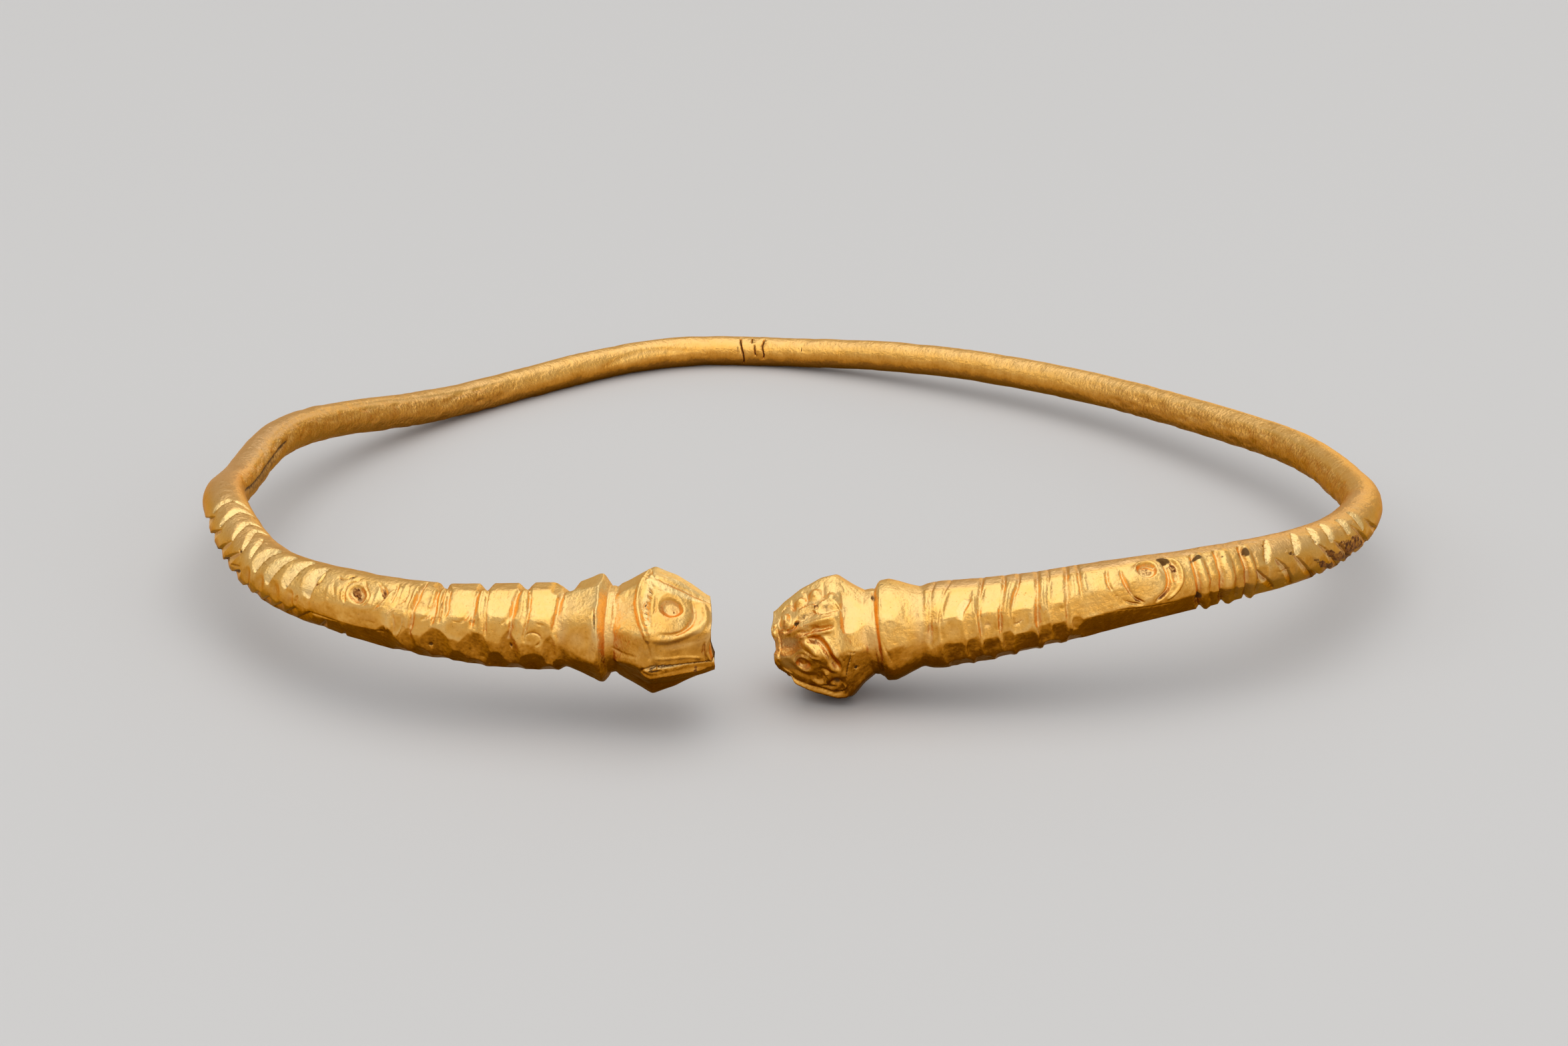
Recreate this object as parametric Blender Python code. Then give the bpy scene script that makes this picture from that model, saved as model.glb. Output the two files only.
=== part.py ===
"""Gold penannular bracelet with two animal-head ends.

One solid rod, hammered and bent by hand into a hoop that stays open at the
front.  The back is plain, the two arms are cut into rows of flats, beads and
notches, and each end is a blocky beast's head with a drilled eye.  The hoop
lies on a table: +Z is up and the heads are towards -Y.
"""
import math
from collections import namedtuple

import bmesh
import bpy
import numpy as np
from mathutils import Vector

MM = 0.001

# ---- Driving sizes, in millimetres and degrees --------------------------------

HOOP_WIDTH = 74.0
GOLD = (0.83, 0.56, 0.24, 1.0)

# The bends of the rod's middle line, from the left head's muzzle round the back
# to the right head's muzzle: X, Y and height above the table.
BENDS = (
    (-4.3, -29.7, 5.6), (-12.0, -28.8, 5.6), (-20.6, -27.5, 5.5), (-26.9, -24.1, 5.5),
    (-32.1, -17.3, 5.0), (-34.8, -9.9, 5.6), (-35.2, -7.0, 5.3), (-34.9, -3.3, 4.6),
    (-33.3, 5.1, 4.3), (-24.0, 19.5, 1.45), (-15.8, 26.9, 0.97), (-5.7, 31.8, 0.97),
    (-1.8, 31.7, 0.95), (7.1, 28.8, 1.65), (20.5, 20.7, 2.4), (29.5, 11.1, 3.2),
    (34.2, 3.6, 3.9), (36.0, -3.3, 4.5), (36.4, -7.2, 5.0), (34.2, -14.0, 5.4),
    (29.4, -20.0, 6.12), (17.4, -25.4, 5.8), (12.3, -25.98, 4.98), (7.4, -25.95, 4.35),
    (-0.4, -25.3, 2.97))

# Half thickness of the rod by distance from the nearer muzzle: a slow taper to the
# plain back, and for each end the collar behind the head and the valley behind it.
ROD = ((13.0, 2.46), (16.0, 2.25), (20.0, 2.08), (24.0, 1.86), (28.0, 1.74), (32.0, 1.66),
       (38.0, 1.48), (46.0, 1.25), (60.0, 1.17), (75.0, 1.08), (88.0, 1.04), (101.0, 1.0))
LEFT_ROD = ((5.5, 2.48), (6.15, 3.22), (6.65, 3.2), (7.0, 3.02), (7.5, 2.8), (8.5, 2.38),
            (8.75, 2.33), (9.2, 2.6)) + ROD
RIGHT_ROD = ((5.7, 2.5), (6.45, 3.0), (7.05, 3.03), (7.6, 2.85), (8.2, 2.6), (8.85, 2.38),
             (9.3, 2.52), (9.9, 2.58)) + ROD

# Each head is an eight-sided block.  For each flat's direction round the head
# (0 = cheek, 90 = crown): its distance from the middle line at the muzzle, the eyes,
# the brow and the neck, and where those are.
LEFT_HEAD_AT = (0.0, 2.0, 3.4, 5.5)
LEFT_HEAD = {90: (2.1, 3.18, 3.74, 2.48), 45: (1.97, 2.82, 3.27, 2.4),
             0: (1.86, 2.9, 3.55, 2.47), -45: (1.97, 2.84, 3.28, 2.42),
             -90: (2.0, 3.19, 3.81, 2.58)}
RIGHT_HEAD_AT = (0.0, 2.0, 3.5, 5.7)
RIGHT_HEAD = {90: (2.08, 3.05, 3.68, 2.52), 45: (2.04, 2.95, 3.34, 2.44),
              0: (1.94, 3.09, 3.68, 2.46), -45: (2.04, 2.95, 3.34, 2.44),
              -90: (2.0, 3.12, 3.77, 2.55)}
LEFT_ROLL, RIGHT_ROLL = 0.0, -68.0

# Corner directions of the section, front of the hoop first: on the head they are
# the block's corners and the middles of its flats, on the arm those of its flats.
HEAD_CORNERS = (0, 15.5, 46, 77.5, 102.5, 134, 164.5, 180,
                195.5, 226, 257.5, 282.5, 314, 344.5)
ARM_CORNERS = (4, 29, 54, 79, 104, 129, 154, 180,
               206, 232, 258, 289, 314, 339)
ARM_FLATS = (54, 4, -46)
ARM_FLAT_HALF_ANGLE = 25.0
FLATS_FADE = (34.0, 48.0)

# Rings cut across the rod: distance from the muzzle, half width, depth, and the
# span of directions cut.  All round on the left arm, front and under on the right.
LEFT_RINGS = ((10.75, 0.45, 0.32, -180, 180), (13.3, 0.45, 0.36, -180, 180),
              (15.85, 0.4, 0.34, -180, 180), (17.2, 0.3, 0.26, -180, 180),
              (18.5, 0.35, 0.22, -110, 110), (19.5, 0.3, 0.14, -60, 95))
RIGHT_RINGS = ((9.8, 0.4, 0.22, -150, 90), (12.2, 0.35, 0.28, -150, 90),
               (13.95, 0.4, 0.3, -150, 90), (15.85, 0.4, 0.32, -150, 90),
               (17.35, 0.25, 0.26, -150, 90), (18.35, 0.25, 0.2, -90, 90),
               (25.1, 0.35, 0.3, -90, 90), (26.5, 0.3, 0.25, -90, 90),
               (28.2, 0.3, 0.25, -90, 90))

# Notches struck with a chisel: first distance, pitch, number, half width, depth,
# span of directions, and how far the notch drifts along the rod in 90 degrees.
LEFT_NOTCHES = ((24.0, 1.79, 9, 0.5, 0.16, 30, 110, -0.4),
                (31.9, 1.75, 4, 0.4, 0.22, -100, 40, 3.0))
RIGHT_NOTCHES = ((30.2, 1.9, 6, 0.5, 0.16, 30, 100, -0.7),
                 (29.4, 1.5, 8, 0.4, 0.2, -100, 30, 2.2))

# Drilled pits: distance from the muzzle, direction, radius, and depth of the pit.
LEFT_PITS = ((2.1, 50, 0.62, 0.42), (2.1, 130, 0.62, 0.42), (20.8, 42, 0.6, 0.22),
             (22.4, -45, 0.55, 0.2))
RIGHT_PITS = ((1.9, -13, 0.55, 0.4), (1.9, 57, 0.5, 0.3), (22.2, 59, 0.55, 0.24))

# What differs between the two ends.
End = namedtuple("End", "name roll head_at head rod rings notches pits")
LEFT = End("left", LEFT_ROLL, LEFT_HEAD_AT, LEFT_HEAD, LEFT_ROD,
           LEFT_RINGS, LEFT_NOTCHES, LEFT_PITS)
RIGHT = End("right", RIGHT_ROLL, RIGHT_HEAD_AT, RIGHT_HEAD, RIGHT_ROD,
            RIGHT_RINGS, RIGHT_NOTCHES, RIGHT_PITS)

# Height of the block that rubs the small flats where the rod touches the table.
WEAR_BLOCK = 4.0

# Stations along the rod: their spacing on the head, the carved arms and the back.
HEAD_STEP, ARM_STEP, BACK_STEP = 0.5, 0.36, 2.4
CARVED_TO = 43.0


# ---- The rod's middle line -----------------------------------------------------

def natural_cubic(knots, values):
    """Second derivatives of a natural cubic spline through the values."""
    count = len(knots)
    gaps = np.diff(knots)
    matrix = np.eye(count)
    target = np.zeros_like(values)
    for i in range(1, count - 1):
        matrix[i, i - 1:i + 2] = (gaps[i - 1], 2 * (gaps[i - 1] + gaps[i]), gaps[i])
        target[i] = 6 * ((values[i + 1] - values[i]) / gaps[i]
                         - (values[i] - values[i - 1]) / gaps[i - 1])
    return np.linalg.solve(matrix, target)


class MiddleLine:
    """The smooth line through the bends, walked by true distance."""

    def __init__(self, bends):
        self.points = np.array(bends, dtype=float)
        steps = np.linalg.norm(np.diff(self.points, axis=0), axis=1)
        self.knots = np.concatenate(([0.0], np.cumsum(steps)))
        self.second = natural_cubic(self.knots, self.points)
        self.fine = np.linspace(0.0, self.knots[-1], 4001)
        walk = np.linalg.norm(np.diff(self.at_knot(self.fine), axis=0), axis=1)
        self.walked = np.concatenate(([0.0], np.cumsum(walk)))
        self.length = self.walked[-1]

    def at_knot(self, where):
        i = np.clip(np.searchsorted(self.knots, where) - 1, 0, len(self.knots) - 2)
        gap = (self.knots[i + 1] - self.knots[i])[:, None]
        a = (self.knots[i + 1] - where)[:, None] / gap
        b = 1.0 - a
        return (a * self.points[i] + b * self.points[i + 1]
                + ((a ** 3 - a) * self.second[i]
                   + (b ** 3 - b) * self.second[i + 1]) * gap ** 2 / 6.0)

    def at(self, distance):
        """Points at the given distances; past an end the line runs on straight."""
        distance = np.atleast_1d(distance).astype(float)
        inside = np.clip(distance, 0.0, self.length)
        points = self.at_knot(np.interp(inside, self.walked, self.fine))
        return points + (distance - inside)[:, None] * self.heading(inside)

    def heading(self, distance):
        reach = 0.05
        low = np.clip(distance - reach, 0.0, self.length)
        high = np.clip(distance + reach, 0.0, self.length)
        ahead = self.at_knot(np.interp(high, self.walked, self.fine))
        behind = self.at_knot(np.interp(low, self.walked, self.fine))
        step = ahead - behind
        return step / np.linalg.norm(step, axis=1)[:, None]


# ---- The section and its carving -----------------------------------------------

def smooth(value, low, high):
    """0 below low, 1 above high, with an even ramp between."""
    t = min(max((value - low) / (high - low), 0.0), 1.0)
    return t * t * (3 - 2 * t)


def turn_between(a, b):
    """Smallest turn between two directions, in degrees."""
    return abs((a - b + 180.0) % 360.0 - 180.0)


def head_radius(distance, direction, end):
    """Reach of a head's block; the flats are turned round the rod by its roll."""
    reach = 99.0
    for flat, sizes in end.head.items():
        size = np.interp(distance, end.head_at, sizes)
        for facing in (flat, 180 - flat):
            off = turn_between(direction - end.roll, facing)
            if off < 80:
                reach = min(reach, size / math.cos(math.radians(off)))
    return reach


def arm_radius(distance, direction, end):
    """Reach of the rod, with the three rows of flats along its outer side."""
    round_radius = np.interp(distance, *zip(*end.rod))
    flatness = 1.0 - smooth(distance, *FLATS_FADE)
    reach = round_radius
    for facing in ARM_FLATS:
        off = turn_between(direction, facing)
        if off < ARM_FLAT_HALF_ANGLE:
            sunk = math.cos(math.radians(ARM_FLAT_HALF_ANGLE)) / math.cos(math.radians(off))
            reach = round_radius * (1.0 - flatness * (1.0 - sunk))
    return reach


def within(direction, low, high, edge=14.0):
    """1 inside a span of directions, fading out over its edges."""
    if high - low >= 360:
        return 1.0
    middle, half = (low + high) / 2, (high - low) / 2
    return 1.0 - smooth(turn_between(direction, middle), half - edge, half + edge)


def carved_depth(distance, direction, end):
    """How deep the rings and notches go at one place on the arm."""
    depth = 0.0
    for at, half_width, deep, low, high in end.rings:
        slope = max(0.0, 1.0 - abs(distance - at) / half_width)
        depth = max(depth, deep * slope * within(direction, low, high))
    signed = (direction + 180.0) % 360.0 - 180.0
    for first, pitch, count, half_width, deep, low, high, drift in end.notches:
        shift = distance + drift * (signed - high) / 90.0
        for i in range(count):
            slope = max(0.0, 1.0 - abs(shift - first - i * pitch) / half_width)
            depth = max(depth, deep * slope * within(direction, low, high))
    return depth


def head_directions(roll):
    """Directions of the rolled head's corners, numbered to meet the arm's corners."""
    count = len(ARM_CORNERS)

    def misfit(shift):
        return sum(turn_between(HEAD_CORNERS[(i + shift) % count] + roll, ARM_CORNERS[i])
                   for i in range(count))

    shift = min(range(count), key=misfit)
    directions = []
    for i in range(count):
        off = HEAD_CORNERS[(i + shift) % count] + roll - ARM_CORNERS[i]
        directions.append(ARM_CORNERS[i] + (off + 180.0) % 360.0 - 180.0)
    return directions


def section(distance, end):
    """Directions and reaches of one section's corners, counted from the front."""
    neck_at = end.head_at[-1]
    blend = smooth(distance, neck_at - 0.6, neck_at + 1.0)
    corners = []
    for head_corner, arm_corner in zip(head_directions(end.roll), ARM_CORNERS):
        direction = head_corner * (1 - blend) + arm_corner * blend
        if distance <= neck_at:
            reach = head_radius(distance, direction, end)
        else:
            reach = arm_radius(distance, direction, end)
            reach -= carved_depth(distance, direction, end)
        corners.append((direction, reach))
    return corners


# ---- Building the solid --------------------------------------------------------

def stations(end):
    """Distances from a muzzle at which the arm has a section."""
    marks = list(end.head_at)
    marks += [distance for distance, _ in end.rod if distance < CARVED_TO]
    for at, half_width, *_ in end.rings:
        marks += [at - half_width, at, at + half_width]
    marks = sorted(marks) + [CARVED_TO]
    result = [marks[0]]
    for mark in marks[1:]:
        step = HEAD_STEP if mark <= end.head_at[-1] else ARM_STEP
        gap = mark - result[-1]
        if gap < 0.1:
            continue
        parts = max(1, round(gap / step))
        start = result[-1]
        result += [start + gap * i / parts for i in range(1, parts + 1)]
    return result


def all_sections(line):
    """Distance along the whole line, and corners, of every section of the rod."""
    sections = []
    left = stations(LEFT)
    right = stations(RIGHT)
    plain = LEFT._replace(roll=0.0, rings=(), notches=())
    for distance in left:
        sections.append((distance, section(distance, LEFT)))
    back_from, back_to = left[-1], line.length - right[-1]
    steps = round((back_to - back_from) / BACK_STEP)
    for i in range(1, steps):
        along = back_from + (back_to - back_from) * i / steps
        nearer = min(along, line.length - along)
        sections.append((along, section(nearer, plain)))
    for distance in reversed(right):
        sections.append((line.length - distance, section(distance, RIGHT)))
    return sections


def place(line, along, direction, reach):
    """World point at a reach from the middle line; direction 0 is outward, 90 is up."""
    middle = line.at(along)[0]
    heading = line.heading(np.array([float(along)]))[0]
    outward = np.cross((0.0, 0.0, 1.0), heading)
    outward /= np.linalg.norm(outward)
    lift = np.cross(heading, outward)
    angle = math.radians(direction)
    return middle + reach * (math.cos(angle) * outward + math.sin(angle) * lift)


def add_mesh_object(name, bm, material=None):
    bmesh.ops.recalc_face_normals(bm, faces=bm.faces)
    mesh = bpy.data.meshes.new(name)
    bm.to_mesh(mesh)
    bm.free()
    mesh.shade_smooth()
    mesh.set_sharp_from_angle(angle=math.radians(24))
    if material:
        mesh.materials.append(material)
    obj = bpy.data.objects.new(name, mesh)
    bpy.context.collection.objects.link(obj)
    return obj


def build_rod(line, to_world, material):
    """The whole bracelet as one closed skin of sections from muzzle to muzzle."""
    bm = bmesh.new()
    loops = []
    for along, corners in all_sections(line):
        loops.append([bm.verts.new(to_world(place(line, along, direction, reach)))
                      for direction, reach in corners])
    count = len(ARM_CORNERS)
    for near, far in zip(loops, loops[1:]):
        for k in range(count):
            after = (k + 1) % count
            bm.faces.new((near[k], near[after], far[after], far[k]))
    bm.faces.new(list(reversed(loops[0])))
    bm.faces.new(loops[-1])
    bmesh.ops.triangulate(bm, faces=[f for f in bm.faces if len(f.verts) > 4])
    return add_mesh_object("bracelet", bm, material)


def cut_away(rod, cutter):
    """Take the cutter's shape out of the rod; the cutter itself is not part of it."""
    cutter.hide_render = True
    cutter.display_type = 'WIRE'
    cut = rod.modifiers.new(cutter.name, 'BOOLEAN')
    cut.operation = 'DIFFERENCE'
    cut.object = cutter


def wear_underside(rod):
    """Small flats rubbed on the rod wherever it touches the table."""
    bm = bmesh.new()
    bmesh.ops.create_cube(bm, size=1.0)
    bmesh.ops.scale(bm, vec=(2 * HOOP_WIDTH * MM, 2 * HOOP_WIDTH * MM, WEAR_BLOCK * MM),
                    verts=bm.verts)
    bmesh.ops.translate(bm, vec=(0.0, 0.0, -WEAR_BLOCK * MM / 2), verts=bm.verts)
    cut_away(rod, add_mesh_object("table_wear", bm))


def cut_pit(rod, name, centre, radius):
    """Sink a round pit with a ball-ended drill."""
    bm = bmesh.new()
    bmesh.ops.create_uvsphere(bm, u_segments=12, v_segments=8, radius=radius)
    drill = add_mesh_object(name, bm)
    drill.location = centre
    cut_away(rod, drill)


def cut_pits(rod, line, to_world, end):
    for i, (distance, direction, radius, depth) in enumerate(end.pits):
        if distance <= end.head_at[-1]:
            reach = head_radius(distance, direction, end)
        else:
            reach = arm_radius(distance, direction, end)
        ball = (radius ** 2 + depth ** 2) / (2 * depth)
        along = distance if end is LEFT else line.length - distance
        centre = to_world(place(line, along, direction, reach + ball - depth))
        cut_pit(rod, f"drill_{end.name}_{i + 1}", centre, ball * MM)


def gold():
    material = bpy.data.materials.new("gold")
    material.use_nodes = True
    shader = material.node_tree.nodes["Principled BSDF"]
    shader.inputs["Base Color"].default_value = GOLD
    shader.inputs["Metallic"].default_value = 1.0
    shader.inputs["Roughness"].default_value = 0.38
    return material


def main():
    for obj in list(bpy.data.objects):
        bpy.data.objects.remove(obj)
    line = MiddleLine(BENDS)
    points = [place(line, along, direction, reach)
              for along, corners in all_sections(line)
              for direction, reach in corners]
    low, high = np.min(points, axis=0), np.max(points, axis=0)
    scale = HOOP_WIDTH / (high[0] - low[0]) * MM
    middle = np.array(((low[0] + high[0]) / 2, (low[1] + high[1]) / 2, 0.0))

    def to_world(point):
        return Vector((point - middle) * scale)

    rod = build_rod(line, to_world, gold())
    wear_underside(rod)
    cut_pits(rod, line, to_world, LEFT)
    cut_pits(rod, line, to_world, RIGHT)


main()
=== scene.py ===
"""Looks of the gold penannular bracelet: one carved rod with a beast's head at each end."""
import math

import bmesh
import bpy
import numpy as np
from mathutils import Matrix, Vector


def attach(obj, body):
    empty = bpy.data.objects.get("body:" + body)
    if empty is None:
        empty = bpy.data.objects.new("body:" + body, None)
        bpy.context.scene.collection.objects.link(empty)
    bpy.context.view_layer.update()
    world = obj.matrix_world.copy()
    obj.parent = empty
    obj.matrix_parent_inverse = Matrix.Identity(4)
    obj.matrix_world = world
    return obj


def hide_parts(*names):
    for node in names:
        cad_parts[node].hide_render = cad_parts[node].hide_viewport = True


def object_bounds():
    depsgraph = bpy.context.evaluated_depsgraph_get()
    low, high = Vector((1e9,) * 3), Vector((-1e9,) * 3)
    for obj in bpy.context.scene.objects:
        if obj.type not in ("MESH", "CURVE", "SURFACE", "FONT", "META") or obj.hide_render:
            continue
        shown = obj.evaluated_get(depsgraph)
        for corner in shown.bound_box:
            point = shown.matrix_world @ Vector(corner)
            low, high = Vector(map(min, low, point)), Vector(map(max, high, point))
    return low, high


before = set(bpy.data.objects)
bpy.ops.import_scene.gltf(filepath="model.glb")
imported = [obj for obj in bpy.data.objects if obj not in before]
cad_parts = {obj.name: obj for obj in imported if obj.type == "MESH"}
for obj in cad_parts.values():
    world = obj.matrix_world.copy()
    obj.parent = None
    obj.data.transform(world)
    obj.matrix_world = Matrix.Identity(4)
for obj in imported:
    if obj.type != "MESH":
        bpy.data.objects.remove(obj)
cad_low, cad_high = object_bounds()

# ---- The bent rod ----
# One rod of high-carat gold, hammered round and then bent cold into a hoop that
# stays open at the front. It tapers from the two heads to the plain back.

# The bends of its middle line in millimetres, from the left muzzle round the back
# to the right one: X, Y and height above the table.
BENDS = np.array((
    (-4.3, -29.7, 5.6), (-12.0, -28.8, 5.6), (-20.6, -27.5, 5.5), (-26.9, -24.1, 5.5),
    (-32.1, -17.3, 5.0), (-34.8, -9.9, 5.6), (-35.2, -7.0, 5.3), (-34.9, -3.3, 4.6),
    (-33.3, 5.1, 4.3), (-24.0, 19.5, 1.45), (-15.8, 26.9, 0.97), (-5.7, 31.8, 0.97),
    (-1.8, 31.7, 0.95), (7.1, 28.8, 1.65), (20.5, 20.7, 2.4), (29.5, 11.1, 3.2),
    (34.2, 3.6, 3.9), (36.0, -3.3, 4.5), (36.4, -7.2, 5.0), (34.2, -14.0, 5.4),
    (29.4, -20.0, 6.12), (17.4, -25.4, 5.8), (12.3, -25.98, 4.98), (7.4, -25.95, 4.35),
    (-0.4, -25.3, 2.97)))

# Half thickness by distance from the nearer muzzle: the long taper, and for each end
# the collar behind the head and the valley behind the collar.
ROD = ((13.0, 2.46), (16.0, 2.25), (20.0, 2.08), (24.0, 1.86), (28.0, 1.74),
       (32.0, 1.66), (38.0, 1.48), (46.0, 1.25), (60.0, 1.17), (75.0, 1.08),
       (88.0, 1.04), (101.0, 1.0))
LEFT_ROD = ((5.5, 2.48), (5.95, 2.62), (6.4, 3.22), (6.65, 3.2), (7.0, 3.02), (7.5, 2.8),
            (8.5, 2.4), (8.75, 2.35), (9.2, 2.6)) + ROD
RIGHT_ROD = ((5.7, 2.52), (6.15, 2.56), (6.5, 2.98), (7.05, 3.03), (7.6, 2.85), (8.2, 2.6),
             (8.85, 2.38), (9.3, 2.52), (9.9, 2.58)) + ROD
CARVED_TO = 43.0


def spline(knots, points):
    """A smooth curve through the points, as a function of the knots."""
    gaps = np.diff(knots)
    count = len(knots)
    matrix = np.eye(count)
    target = np.zeros_like(points)
    for i in range(1, count - 1):
        matrix[i, i - 1:i + 2] = (gaps[i - 1], 2 * (gaps[i - 1] + gaps[i]), gaps[i])
        target[i] = 6 * ((points[i + 1] - points[i]) / gaps[i]
                         - (points[i] - points[i - 1]) / gaps[i - 1])
    bend = np.linalg.solve(matrix, target)

    def curve(where):
        i = np.clip(np.searchsorted(knots, where) - 1, 0, count - 2)
        gap = gaps[i][:, None]
        a = (knots[i + 1] - where)[:, None] / gap
        b = 1 - a
        return (a * points[i] + b * points[i + 1]
                + ((a ** 3 - a) * bend[i] + (b ** 3 - b) * bend[i + 1]) * gap ** 2 / 6)

    return curve


def steps_along(points):
    """Distance walked from the first point to each of the others."""
    return np.concatenate(([0.0], np.cumsum(np.linalg.norm(np.diff(points, axis=0), axis=1))))


middle_curve = spline(steps_along(BENDS), BENDS)
fine_knots = np.linspace(0.0, steps_along(BENDS)[-1], 6001)
walked = steps_along(middle_curve(fine_knots))
rod_length = walked[-1]


def middle_line(along):
    """Middle point, heading, outward direction and lift at distances from the left muzzle."""
    def point(distance):
        return middle_curve(np.interp(distance, walked, fine_knots))

    inside = np.clip(along, 0.0, rod_length)
    reach = 0.05
    heading = (point(np.clip(inside + reach, 0, rod_length))
               - point(np.clip(inside - reach, 0, rod_length)))
    heading /= np.linalg.norm(heading, axis=1)[:, None]
    outward = np.cross((0.0, 0.0, 1.0), heading)
    outward /= np.linalg.norm(outward, axis=1)[:, None]
    lift = np.cross(heading, outward)
    return point(inside) + (along - inside)[:, None] * heading, heading, outward, lift


# The skin is a net of stations along the rod and directions round it, in degrees:
# 0 is the outside of the hoop, 90 is up. It is closer where the carving is.
FINE = 1.4
around = np.concatenate((np.arange(-104.0, 124.0, FINE), np.arange(124.0, 256.0, 4.4)))
arm_stations = np.concatenate((np.arange(0.0, 6.8, 0.036 * FINE),
                               np.arange(6.8, 24.0, 0.05 * FINE),
                               np.arange(24.0, CARVED_TO, 0.06 * FINE)))


def soft_least(a, b, rounding=0.05):
    """The lesser of two reaches, with the corner between them rounded."""
    share = np.clip(0.5 + 0.5 * (b - a) / rounding, 0, 1)
    return b + (a - b) * share - rounding * share * (1 - share)


def ramp(value, low, high):
    """0 below low, 1 above high, and an even curve between."""
    t = np.clip((value - low) / (high - low), 0, 1)
    return t * t * (3 - 2 * t)


def turn(a, b):
    """Turn from direction b to direction a, between -180 and 180 degrees."""
    return (a - b + 180.0) % 360.0 - 180.0


# Millimetres round the rod for each degree, where a rough figure is enough.
PER_DEGREE = 0.045


def unroll(at, facing):
    """How far round the rod a direction is, laid out flat in millimetres."""
    return np.radians(facing) * np.interp(at, (0.0, 6.0, 9.0, 43.0), (2.9, 2.9, 2.6, 1.5))


def soften(values, rows, columns):
    """The net's values averaged with their neighbours, twice over."""
    for axis, wide in ((0, rows), (1, columns), (0, rows), (1, columns)):
        if wide == 0:
            continue
        pad = [(0, 0), (0, 0)]
        pad[axis] = (wide + 1, wide)
        sums = np.cumsum(np.pad(values, pad, mode="edge" if axis == 0 else "wrap"), axis=axis)
        span = 2 * wide + 1
        size = values.shape[axis]
        values = (np.take(sums, range(span, span + size), axis=axis)
                  - np.take(sums, range(0, size), axis=axis)) / span
    return values


def lumps(places, step, seed):
    """Smooth random swells about one step across, from -1 to 1."""
    wide = 32
    lattice = np.random.default_rng(seed).uniform(-1, 1, (wide, wide, wide))
    spots = places / step + 500.0
    cell = np.floor(spots).astype(int)
    part = spots - cell
    part = part * part * (3 - 2 * part)
    total = np.zeros(places.shape[:-1])
    for corner in np.ndindex(2, 2, 2):
        index = (cell + corner) % wide
        weight = np.prod(np.where(corner, part, 1 - part), axis=-1)
        total += weight * lattice[index[..., 0], index[..., 1], index[..., 2]]
    return total


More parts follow.
